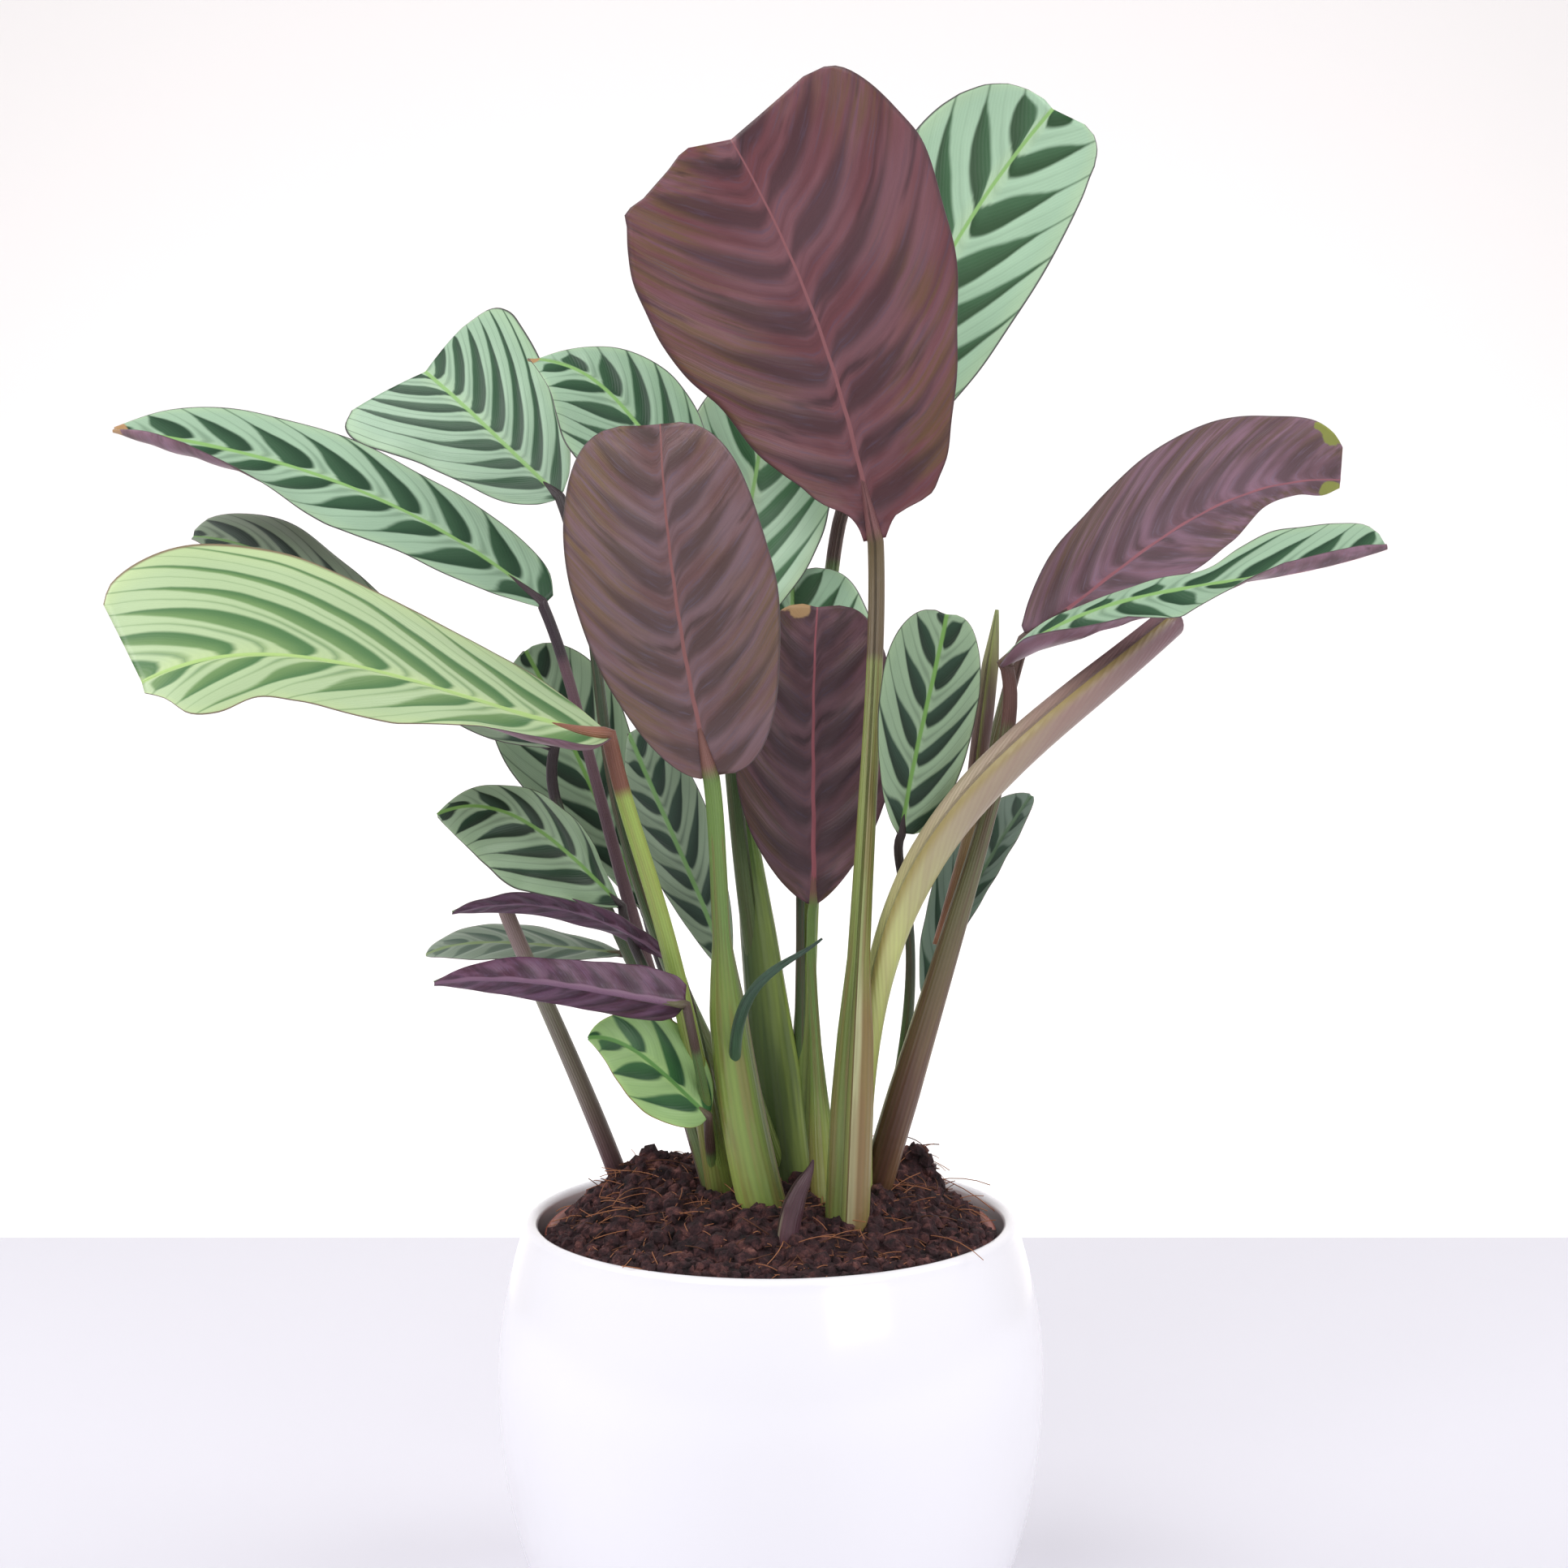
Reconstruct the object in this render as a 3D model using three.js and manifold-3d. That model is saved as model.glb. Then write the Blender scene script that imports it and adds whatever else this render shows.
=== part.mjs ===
// A potted ctenanthe: a glazed cover pot, a nursery pot standing in it, the soil,
// and the plant as six leafy shoots, a cut stalk and a bud, each with its foot in a hole in the soil.
// Millimetres, +Z up, origin at the middle of the cover pot's foot.
import * as THREE from 'three';
import { mergeVertices } from 'three/addons/utils/BufferGeometryUtils.js';
import Module from 'manifold-3d';

const wasm = await Module();
wasm.setup();

// ---------------------------------------------------------------- driving dimensions
const POT = { height: 118, lipRadius: 67.2, bellyRadius: 74.5, bellyHeight: 76, footRadius: 44,
  wall: 4.5, floor: 7, mouthRadius: 63.5 };
const NURSERY = { bottom: 7, top: 115, rimRadius: 61.6, rimHeight: 9, rimLip: 2.2, wall: 1.3,
  bottomRadius: 42, floor: 2 };
// mounds: place, height and spread of the heaps on the soil
const SOIL = { edge: 111, crown: 127, radius: 57.6, clearance: 0.35, holeFloor: 106, lump: 2.4, seed: 7,
  mounds: [{ at: [-33, 3], height: 7, spread: 12 }, { at: [40, 9], height: 12, spread: 6 }] };
const BLADE = { thickness: 0.8, rows: 12, smallRows: 8, small: 20, columns: 3, least: 0.6 };
const STEM_SIDES = 6;

// Each leaf: the midrib as four points from base to tip, the way the upper side looks at base,
// middle and tip, the half width on either side of the midrib, where the blade is widest (a, a larger
// number is nearer the tip), how blunt its base and tip are (b), each for the two halves, the fold at
// the midrib and the cup of each half in degrees (a list goes from base to tip), the forward sweep of
// each half at the tip, a wave of the margin (height, count, start), and the leaf stalk from the blade down to its shoot with a radius at each point.
// A lobed or rolled blade has its two margins written out instead: places along the midrib (0 at the base,
// 1 at the tip), each with the half width there.
const SHOOTS = {
  shoot_front: {
    foot: [0, -26], radius: 6.2, leaves: {
      front: { rib: [[-15, -35, 240], [-21, -43, 270], [-25, -50, 300], [-27, -50, 329]],
        face: [[0, 1, 0.2], [0, 1, 0.1], [0, 1, -0.1]], width: [27, 27], a: [1.1, 1.9],
        b: [[0.32, 0.36], [0.28, 0.24]], fold: -10, cup: -20, sweep: [0, -0.1],
        stem: [[-15, -35, 240], [-13, -34, 212], [-10, -31, 174], [0, -26, 131]], radii: [2.2, 2.2, 2.4, 4.4, 5.2, 5.8, 6.1] },
    },
    rolled: { strap: { path: [[13, -60, 202], [3, -57, 195], [-5, -49, 184], [-10, -31, 168]], radii: [0.8, 1.4, 1.6, 1.6] } },
  },
  shoot_middle: {
    foot: [19, -26], radius: 6.2, leaves: {
      tall: { rib: [[28, -6, 301], [19.5, -12, 336], [7.5, -20, 369], [-10, -26, 403]],
        face: [[0.1, 1, 0.1], [0, 1, 0.2], [0, 1, 0.3]], fold: -6, cup: -12, sweep: [0.15, 0.35], rows: 16,
        margin: [[[0, 2.5], [0.06, 7], [0.075, 11.5], [0.092, 17], [0.134, 20.7], [0.18, 24], [0.25, 27], [0.4, 33.2],
          [0.5, 37.2], [0.6, 40.6], [0.68, 42.4], [0.75, 43.2], [0.8, 43], [0.86, 41], [0.91, 38.8], [0.94, 36.6],
          [0.975, 33], [0.99, 29], [1, 23]],
          [[0, 3], [0.05, 4], [0.085, 6.3], [0.117, 11], [0.146, 14], [0.18, 16.5], [0.22, 20.3], [0.29, 25.7],
          [0.43, 31.5], [0.52, 37], [0.61, 39.8], [0.68, 40.6], [0.75, 40.2], [0.82, 37.4], [0.87, 34.8], [0.9, 33], [0.91, 29],
          [0.93, 24.5], [0.967, 17], [0.985, 14], [1, 10]]],
        stem: [[28, -6, 301], [28, -6, 286], [24, -14, 219], [20, -24, 130]], radii: [2.2, 2.2, 2.3, 2.9, 4, 5.4, 5.8] },
      middle: { rib: [[11.5, -4, 203.5], [11.5, -4, 231], [11.5, -4, 257], [12.5, -4, 284]],
        face: [[0, 1, 0.2], [0, 1, 0.1], [0, 1, 0.1]], width: [22.2, 21.2], a: [1.3, 1.1],
        b: [[0.55, 0.3], [0.58, 0.36]], fold: 0, cup: 0,
        stem: [[11.5, -4, 203.5], [11, -6, 191], [12, -12, 165], [15.5, -24, 130]], radii: [1.5, 1.5, 1.8, 2.4] },
    },
    rolled: { young: { path: [[104, -20, 280], [58, -50, 244], [29, -50, 204], [22.5, -30, 129]], radii: [4.2, 5, 5.6, 5, 3.6, 2.8, 2.6] } },
  },
  shoot_right: {
    foot: [26, -6], radius: 4.6, leaves: {
      small: { rib: [[34, -38, 225], [37, -42, 244], [41, -45, 263], [45, -46, 282]],
        face: [[0.1, -1, 0.3], [0.1, -1, 0.3], [0.1, -1, 0.3]], width: [13, 13], a: [2.0, 1.1],
        b: [[0.31, 0.34], [0.33, 0.36]], fold: 6, cup: 0,
        stem: [[34, -38, 225], [35, -36, 215], [36, -26, 180], [26, -6, 132]], radii: [1.2, 1.3, 1.8, 3] },
      upper: { rib: [[67.3, -12, 275.4], [94, -8, 295.5], [121, -4, 312], [153, 0, 318]],
        face: [[-0.4, 0.8, 0.5], [-0.4, 0.8, 0.5], [-0.4, 0.8, 0.5]], fold: 0, cup: 0, sweep: [0.15, -0.15], rows: 14,
        margin: [[[0, 4], [0.1, 10], [0.3, 15], [0.5, 17], [0.67, 14], [0.78, 6.5], [0.88, 4.5], [0.95, 5], [1, 2.5]],
          [[0, 4], [0.06, 10], [0.17, 18], [0.33, 22.5], [0.5, 26], [0.67, 26], [0.83, 21], [0.92, 18], [0.97, 14],
          [1, 9]]],
        stem: [[67, -12, 275], [62, -14, 260], [54, -18, 230], [45, -23, 195]], radii: [1.8, 2, 2.2, 2.6] },
      wavy: { rib: [[59, -30, 268.5], [87.5, -38, 284.5], [119, -44, 290.5], [154, -48, 298.5]],
        face: [[0, -0.6, 0.8], [0, -0.6, 0.8], [0, -0.6, 0.8]], fold: [0, [0, -5, -20, -20, -15, 10, 45, 50, 50]], cup: [0, [100, 100, 100, 80, 20, 20, 40, 40, 40]], sweep: [0, 0], wave: [0.6, 3, 0], rows: 14,
        margin: [[[0, 1], [0.1, 3.5], [0.19, 4], [0.29, 4.5], [0.47, 5.5], [0.58, 8], [0.66, 14], [0.75, 17.5], [0.83, 17.5],
          [0.92, 15], [0.98, 11], [1, 5]],
          [[0, 2], [0.08, 14], [0.17, 19], [0.33, 18], [0.45, 12], [0.55, 8], [0.65, 6], [0.8, 6], [0.93, 5], [1, 2]]],
        stem: [[61, -30, 268], [60, -29, 255], [48, -26, 205], [26, -6, 132]], radii: [1.8, 2.2, 3.2, 4.4] },
    },
    rolled: { spear: { path: [[59, -22, 283], [58, -22, 274], [56, -22, 258], [52, -26, 228]], radii: [0.8, 2.2, 2.4, 1.6] } },
  },
  shoot_left: {
    foot: [-12, -10], radius: 5.6, leaves: {
      near: { rib: [[-40, -52, 252], [-76, -72, 263], [-111, -88, 272], [-144, -98, 266]],
        face: [[0, -0.35, 0.93], [0, -0.5, 0.85], [-0.2, -0.6, 0.8]], fold: [[-50, -45, -25, -12, -12, -12, -12], 12], cup: [[110, 100, 50, -6, -6, -6, -6], 10], sweep: [0.15, 0], rows: 16,
        margin: [[[0, 3], [0.08, 14], [0.2, 17], [0.3, 15], [0.4, 14.5], [0.55, 16], [0.7, 14.5], [0.78, 12.5], [0.86, 16.5],
          [0.92, 15], [0.96, 8], [1, 3]],
          [[0, 1], [0.06, 10], [0.14, 16], [0.28, 21], [0.42, 24], [0.55, 27], [0.7, 33], [0.8, 36], [0.9, 36], [0.97,
          32], [1, 26]]],
        stem: [[-40, -52, 252], [-33, -50, 235], [-24, -42, 200], [-12, -10, 132]], radii: [2, 2, 2.2, 4] },
      behind: { rib: [[-57, -14, 247], [-84, -14, 264], [-117, -14, 289], [-152, -14, 302]],
        face: [[0, -0.5, 0.85], [0, -0.48, 0.88], [0, -0.45, 0.9]], fold: 0, cup: 0,
        margin: [[[0, 1], [0.15, 9], [0.4, 15], [0.7, 14], [0.9, 8], [1, 1]],
          [[0, 1], [0.1, 5], [0.3, 7], [0.5, 9], [0.65, 13], [0.8, 18], [0.9, 18], [0.97, 13], [1, 4]]],
        stem: [[-57, -14, 247], [-54, -14, 232], [-39, -14, 204], [-12, -10, 132]], radii: [1.5, 1.5, 2.2, 4] },
      long: { rib: [[-59, -12, 284], [-93, -10, 307], [-131, -10, 322], [-172, -15, 330]],
        face: [[-0.1, -0.5, 0.85], [0, -0.5, 0.85], [-0.1, -0.45, 0.85]], fold: [[-8, -8, -8, -8, -25, -30, -30], 10], cup: [[-10, -10, -10, -10, 60, 110, 120], 0], rows: 14,
        margin: [[[0, 1], [0.05, 4], [0.12, 8], [0.25, 12], [0.4, 14], [0.55, 16], [0.67, 14], [0.8, 15], [0.9, 12], [1, 2]],
          [[0, 3], [0.05, 9], [0.12, 12], [0.25, 14], [0.4, 15.5], [0.55, 18], [0.67, 19], [0.8, 17], [0.9, 12], [1,
          1]]],
        stem: [[-60, -12, 284], [-52, -10, 267], [-40, -9, 221], [-12, -10, 132]], radii: [1.5, 1.5, 2.2, 4] },
      lower: { rib: [[-38, -35, 207], [-51, -42, 221], [-66, -48, 232], [-83, -52, 232]],
        face: [[0, -0.7, 0.7], [-0.1, -0.7, 0.7], [-0.1, -0.7, 0.7]], width: [19.5, 10.5], a: [1.6, 1.15],
        b: [[0.52, 0.75], [0.9, 1.0]], fold: 0, cup: 0,
        stem: [[-38, -35, 207], [-33, -34, 200], [-23, -25, 171], [-12, -10, 132]], radii: [1.2, 1.4, 1.8, 4] },
      folded: { rib: [[-21, -50, 184], [-41, -60, 189], [-61, -68, 193], [-81, -74, 193]],
        face: [[0, 0.95, 0.3], [0, 0.95, 0.3], [0, 0.95, 0.3]], width: [6.5, 8], a: [1.1, 1.2],
        b: [[0.3, 0.5], [0.4, 0.6]], fold: [35, 15], cup: 10,
        stem: [[-21, -50, 184], [-19, -46, 178], [-17, -32, 159], [-12, -10, 132]], radii: [1.2, 1.3, 1.6, 4] },
      pale: { rib: [[-39, -8, 191], [-60, -8, 193], [-78, -10, 194], [-92, -12, 191]],
        face: [[0, -0.4, 0.9], [0, -0.4, 0.9], [0, -0.4, 0.9]], width: [9, 10], a: [1.3, 1.3],
        b: [[0.6, 0.7], [0.6, 0.7]], fold: 0, cup: 0,
        stem: [[-39, -8, 191], [-32, -8, 185], [-21, -8, 162], [-12, -10, 132]], radii: [1.1, 1.2, 1.6, 4] },
      curled: { rib: [[-24, -34, 192], [-42, -40, 204], [-61, -44, 209], [-80, -48, 207]],
        face: [[0, 0.6, 0.75], [0, 0.6, 0.75], [0, 0.6, 0.75]], width: [5, 6], a: [1.2, 1.2],
        b: [[0.6, 0.6], [0.6, 0.6]], fold: 0, cup: 0,
        stem: [[-24, -34, 192], [-20, -32, 184], [-16, -22, 159], [-12, -10, 132]], radii: [1.1, 1.2, 1.6, 4] },
      round: { rib: [[-15, -32, 152], [-25, -38, 163], [-35, -43, 172], [-45, -47, 175]],
        face: [[0, -0.8, 0.6], [0, -0.8, 0.6], [0, -0.8, 0.6]], width: [8.5, 13], a: [0.95, 0.95],
        b: [[0.4, 0.6], [0.5, 0.8]], fold: 0, cup: 0,
        stem: [[-15, -32, 152], [-15, -27, 146], [-14, -18, 137], [-12, -10, 132]], radii: [1.2, 1.4, 2, 4] },
    },
    rolled: {},
  },
  shoot_back: {
    foot: [7, 1], radius: 6, leaves: {
      back: { rib: [[20, 25, 311], [34, 32, 350], [53, 40, 388], [80, 45, 425]],
        face: [[-0.1, -1, 0.3], [0.1, -1, 0.3], [0.3, -1, 0.3]], width: [27, 26], a: [2.4, 1.5],
        b: [[0.3, 0.5], [0.5, 0.22]], fold: 8, cup: 0, sweep: [0.1, 0.25],
        stem: [[20, 25, 311], [16, 24, 293], [12, 16, 240], [7, 1, 132]], radii: [2, 2, 2.6, 5] },
      inner: { rib: [[-11, 8, 272], [-8, 12, 297], [-4, 16, 321], [0, 18, 346]],
        face: [[0, -1, 0.3], [0, -1, 0.3], [0.1, -1, 0.3]], width: [22, 22], a: [1.3, 1.3],
        b: [[0.62, 0.3], [0.62, 0.3]], fold: 8, cup: 0,
        stem: [[-11, 8, 272], [-10, 12, 259], [-4, 12, 210], [7, 1, 132]], radii: [1.6, 1.8, 2.8, 5] },
      hidden: { rib: [[8, 7, 228], [7, 9, 250], [6, 11, 272], [6, 13, 294]],
        face: [[0, -1, 0.3], [0, -1, 0.3], [0.1, -1, 0.3]], width: [20, 23], a: [1.5, 1.5],
        b: [[0.6, 0.3], [0.6, 0.3]], fold: 6, cup: 0,
        stem: [[8, 7, 228], [8, 7, 215], [8, 5, 173], [7, 1, 132]], radii: [1.6, 1.8, 3.4, 5.4] },
      high: { rib: [[-15, -5, 307], [-33, -2, 329], [-47, 0, 344], [-65, 2, 350]],
        face: [[0.1, -1, 0.5], [0.1, -0.95, 0.55], [0.1, -0.9, 0.6]], width: [23, 16], a: [1.0, 1.0],
        b: [[0.7, 1.0], [0.45, 1.6]], fold: 10, cup: 10,
        stem: [[-15, -5, 307], [-14, 0, 290], [-9, 5, 229], [7, 1, 132]], radii: [1.6, 1.8, 3, 5] },
      arched: { rib: [[-58, 16, 314], [-72, 24, 327], [-85, 34, 339], [-99, 46, 351]],
        face: [[-0.25, -0.9, 0.4], [-0.25, -0.85, 0.45], [-0.3, -0.75, 0.55]], fold: 0, cup: -10, sweep: [0.45, 0.3], rows: 14,
        margin: [[[0, 1], [0.06, 6], [0.2, 12], [0.4, 16], [0.6, 20], [0.75, 25], [0.87, 28], [0.95, 27], [1, 22]],
          [[0, 1], [0.06, 7], [0.2, 14], [0.4, 20], [0.6, 25], [0.8, 29], [0.9, 30], [0.96, 27], [1, 17]]],
        stem: [[-58, 16, 314], [-47, 6, 270], [-38, 2, 220], [7, 1, 132]], radii: [1.5, 1.5, 2.2, 4.4] },
      standing: { rib: [[-34, 8, 199], [-45, 12, 224], [-57, 16, 250], [-68, 18, 272]],
        face: [[0, -1, 0.4], [0, -1, 0.4], [0, -1, 0.4]], width: [19, 17], a: [2.0, 2.0],
        b: [[0.5, 0.8], [0.38, 0.5]], fold: 0, cup: 0,
        stem: [[-34, 8, 199], [-29, 8, 187], [-17, 6, 159], [7, 1, 132]], radii: [1.4, 1.6, 2.4, 4.4] },
      grey: { rib: [[-11, -22, 188], [-19, -22, 209], [-27, -24, 228], [-37, -22, 251]],
        face: [[0, -1, 0.4], [0, -1, 0.4], [0, -1, 0.4]], width: [9, 11], a: [1.2, 1.7],
        b: [[0.5, 0.9], [0.4, 0.35]], fold: 0, cup: 0,
        stem: [[-11, -22, 188], [-8, -18, 174], [-2, -9, 148], [7, 1, 132]], radii: [1.6, 1.8, 2.4, 4.4] },
    },
    rolled: {},
  },
  shoot_far_right: {
    foot: [26, 10], radius: 3.6, leaves: {
      pleated: { rib: [[43, 15, 175], [51, 12, 194], [59, 10, 212], [72, 12, 232]],
        face: [[-0.6, -0.8, 0.3], [-0.6, -0.8, 0.3], [-0.6, -0.8, 0.3]], width: [13, 5], a: [1.35, 1.9],
        b: [[0.42, 0.6], [1.0, 0.5]], fold: 10, cup: 0,
        stem: [[43, 15, 175], [40, 14, 166], [34, 12, 144], [26, 10, 132]], radii: [1.4, 1.6, 2.2, 3.2] },
    },
    rolled: {},
  },
};
const CUT_STALK = { foot: [-41, 20], radius: 2.9, path: [[-69, -30, 207], [-63, -25, 191], [-53, -8, 160], [-41, 20, 127]],
  radii: [2.2, 2.4, 2.6, 2.8] };
const BUD = { foot: [4, -44], radius: 3, path: [[11, -44, 143], [9.5, -44, 139], [7, -44, 134], [4, -44, 128]],
  radii: [0.8, 2.2, 2.8, 3] };

// ---------------------------------------------------------------- solids
const vec = (p) => new THREE.Vector3(...p);

function solid(geometry) {
  let g = geometry.clone();
  g.deleteAttribute('normal');
  g.deleteAttribute('uv');
  g = mergeVertices(g, 1e-4);
  const made = new wasm.Manifold(new wasm.Mesh({ numProp: 3,
    vertProperties: new Float32Array(g.attributes.position.array), triVerts: new Uint32Array(g.index.array) }));
  return made;
}

function meshOf(name, body, material) {
  const m = body.getMesh();
  const g = new THREE.BufferGeometry();
  g.setAttribute('position', new THREE.BufferAttribute(new Float32Array(m.vertProperties), 3));
  g.setIndex(Array.from(m.triVerts));
  const mesh = new THREE.Mesh(g, material);
  mesh.name = name;
  return mesh;
}

// four points as a smooth curve that passes through all of them
function along(points, t) {
  const w = [(1 - 3 * t) * (2 - 3 * t) * (1 - t) / 2, 9 * t * (2 - 3 * t) * (1 - t) / 2,
    -9 * t * (1 - 3 * t) * (1 - t) / 2, t * (1 - 3 * t) * (2 - 3 * t) / 2];
  const v = new THREE.Vector3();
  points.forEach((p, i) => v.addScaledVector(vec(p), w[i]));
  return v;
}

function evenly(points, count, from = 0, to = 1) {
  const fine = Array.from({ length: 161 }, (_, i) => along(points, i / 160));
  const run = [0];
  for (let i = 1; i < fine.length; i++) run.push(run[i - 1] + fine[i].distanceTo(fine[i - 1]));
  const out = [];
  for (let k = 0; k < count; k++) {
    const want = run[160] * (from + (to - from) * k / (count - 1));
    let i = 1;
    while (i < 160 && run[i] < want) i++;
    const f = (want - run[i - 1]) / (run[i] - run[i - 1]);
    out.push(along(points, (i - 1 + f) / 160));
  }
  return out;
}

const mix = (values, t) => {
  const x = t * (values.length - 1), i = Math.min(Math.floor(x), values.length - 2);
  return values[i] + (values[i + 1] - values[i]) * (x - i);
};

const oneSide = (value, k) => (Array.isArray(value) ? value[k] : value);

// a smooth curve through the points [place, half width] of one margin
const through = (knots, t) => {
  const slope = (n) => {
    const a = knots[Math.max(n - 1, 0)], b = knots[Math.min(n + 1, knots.length - 1)];
    return (b[1] - a[1]) / (b[0] - a[0]);
  };
  let i = 0;
  while (i < knots.length - 2 && t >= knots[i + 1][0]) i++;
  const [x0, y0] = knots[i], [x1, y1] = knots[i + 1], h = x1 - x0, f = (t - x0) / h;
  return (1 + 2 * f) * (1 - f) ** 2 * y0 + f * (1 - f) ** 2 * h * slope(i) + f * f * (3 - 2 * f) * y1 - f * f * (1 - f) * h * slope(i + 1);
};

const valueAt = (value, t) => (Array.isArray(value) ? mix(value, t) : value);

const profile = (t, a, b) => Math.max(Math.sin(Math.PI * t ** a), 0) ** (b[0] + (b[1] - b[0]) * t);

function blade(leaf) {
  const rows = leaf.rows ?? (leaf.width && Math.max(...leaf.width) < BLADE.small ? BLADE.smallRows : BLADE.rows), half = BLADE.columns, cols = 2 * half + 1;
  const t0 = 0.035, t1 = 0.988;
  const mid = evenly(leaf.rib, rows, t0, t1);
  const deg = Math.PI / 180;
  const grid = [];
  for (let i = 0; i < rows; i++) {
    const t = t0 + (t1 - t0) * i / (rows - 1);
    const T = mid[Math.min(i + 1, rows - 1)].clone().sub(mid[Math.max(i - 1, 0)]).normalize();
    const face = vec([0, 1, 2].map((k) => mix([...leaf.face.map((f) => vec(f).normalize().getComponent(k))], t)));
    const N = face.addScaledVector(T, -face.dot(T)).normalize();
    const R = T.clone().cross(N);
    const row = [];
    for (let j = -half; j <= half; j++) {
      const s = Math.sign(j), k = s < 0 ? 0 : 1, u = Math.abs(j) / half;
      const wide = leaf.margin ? through(leaf.margin[k], t) : leaf.width[k] * profile(t, leaf.a[k], leaf.b[k]);
      const w = Math.max(wide, BLADE.least);
      const fold = valueAt(oneSide(leaf.fold, k), t) * deg, cup = (valueAt(oneSide(leaf.cup, k), t) || 0.05) * deg;
      const x = w * (Math.sin(fold + cup * u) - Math.sin(fold)) / cup;
      let z = w * (Math.cos(fold) - Math.cos(fold + cup * u)) / cup;
      if (leaf.wave) z += leaf.wave[0] * u * u * Math.sin(2 * Math.PI * (leaf.wave[1] * t + leaf.wave[2] + (s > 0 ? 0.27 : 0))) * Math.sin(Math.PI * t);
      const sweep = (leaf.sweep ? leaf.sweep[k] : 0.15) * x * t ** 3;
      row.push(mid[i].clone().addScaledVector(R, s * x).addScaledVector(N, z).addScaledVector(T, sweep));
    }
    grid.push(row);
  }
  const normal = (i, j) => {
    const a = grid[Math.min(i + 1, rows - 1)][j].clone().sub(grid[Math.max(i - 1, 0)][j]);
    const b = grid[i][Math.min(j + 1, cols - 1)].clone().sub(grid[i][Math.max(j - 1, 0)]);
    return b.cross(a).normalize();
  };
  const points = [];
  for (const side of [0.5, -0.5])
    for (let i = 0; i < rows; i++)
      for (let j = 0; j < cols; j++)
        points.push(...grid[i][j].clone().addScaledVector(normal(i, j), side * BLADE.thickness).toArray());
  const at = (face, i, j) => face * rows * cols + i * cols + j;
  const index = [];
  for (let i = 0; i < rows - 1; i++)
    for (let j = 0; j < cols - 1; j++) {
      const [p, q, r, s] = [[i, j], [i + 1, j], [i + 1, j + 1], [i, j + 1]];
      const tris = j < half ? [[p, q, r], [p, r, s]] : [[p, q, s], [q, r, s]];
      for (const [x, y, z] of tris) {
        index.push(at(0, ...x), at(0, ...z), at(0, ...y));
        index.push(at(1, ...x), at(1, ...y), at(1, ...z));
      }
    }
  const ring = [];
  for (let j = 0; j < cols; j++) ring.push([0, j]);
  for (let i = 1; i < rows; i++) ring.push([i, cols - 1]);
  for (let j = cols - 2; j >= 0; j--) ring.push([rows - 1, j]);
  for (let i = rows - 2; i > 0; i--) ring.push([i, 0]);
  ring.forEach((x, n) => {
    const y = ring[(n + 1) % ring.length];
    index.push(at(0, ...x), at(1, ...x), at(1, ...y), at(0, ...x), at(1, ...y), at(0, ...y));
  });
  const g = new THREE.BufferGeometry();
  g.setAttribute('position', new THREE.BufferAttribute(new Float32Array(points), 3));
  g.setIndex(index);
  let body = solid(g);
  if (body.volume() < 0) {
    g.setIndex(index.flatMap((_, n) => (n % 3 === 0 ? [index[n], index[n + 2], index[n + 1]] : [])));
    body = solid(g);
  }
  return body;
}

// a closed round rod through four points, with a radius at each
function rod(points, radii, steps = 6, sides = STEM_SIDES) {
  const mid = evenly(points, steps + 1);
  const pos = [], index = [];
  let side = new THREE.Vector3(0, 1, 0);
  mid.forEach((c, i) => {
    const T = mid[Math.min(i + 1, steps)].clone().sub(mid[Math.max(i - 1, 0)]).normalize();
    side = side.clone().addScaledVector(T, -side.dot(T)).normalize();
    const other = T.clone().cross(side);
    const r = mix(radii, i / steps);
    for (let k = 0; k < sides; k++) {
      const a = 2 * Math.PI * k / sides;
      pos.push(...c.clone().addScaledVector(side, r * Math.cos(a)).addScaledVector(other, r * Math.sin(a)).toArray());
    }
  });
  const n0 = pos.length / 3;
  pos.push(...mid[0].toArray(), ...mid[steps].toArray());
  for (let i = 0; i < steps; i++)
    for (let k = 0; k < sides; k++) {
      const a = i * sides + k, b = i * sides + (k + 1) % sides;
      index.push(a, b, b + sides, a, b + sides, a + sides);
    }
  for (let k = 0; k < sides; k++) {
    index.push(n0, (k + 1) % sides, k);
    index.push(n0 + 1, steps * sides + k, steps * sides + (k + 1) % sides);
  }
  const g = new THREE.BufferGeometry();
  g.setAttribute('position', new THREE.BufferAttribute(new Float32Array(pos), 3));
  g.setIndex(index);
  return solid(g);
}

function upright(x, y, radius, from, to, sides = 12, topRadius = radius) {
  const g = new THREE.CylinderGeometry(topRadius, radius, to - from, sides);
  g.rotateX(Math.PI / 2);
  g.translate(x, y, (from + to) / 2);
  return solid(g);
}

const lathe = (points, sides = 40) => {
  const g = new THREE.LatheGeometry(points.map(([r, z]) => new THREE.Vector2(r, z)), sides);
  g.rotateX(Math.PI / 2);
  return solid(g);
};

function shoot(s) {
  let body = upright(...s.foot, s.radius, SOIL.holeFloor, 136, 12, s.radius * 0.9);
  const parts = [];
  for (const leaf of Object.values(s.leaves)) {
    parts.push(blade(leaf));
    // the stalk runs a little way in under the blade, so that the two are one body
    const first = along(leaf.rib, 0.07).toArray();
    const [, b, c, d] = leaf.stem;
    parts.push(rod([leaf.stem[0], b, c, d], leaf.radii));
    parts.push(rod([leaf.stem[0], along(leaf.rib, 0.025).toArray(), along(leaf.rib, 0.05).toArray(), first], [leaf.radii[0], leaf.radii[0], leaf.radii[0] * 0.8, leaf.radii[0] * 0.5], 2));
  }
  for (const r of Object.values(s.rolled)) parts.push(rod(r.path, r.radii));
  for (const p of parts) body = body.add(p);
  return body;
}

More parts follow.
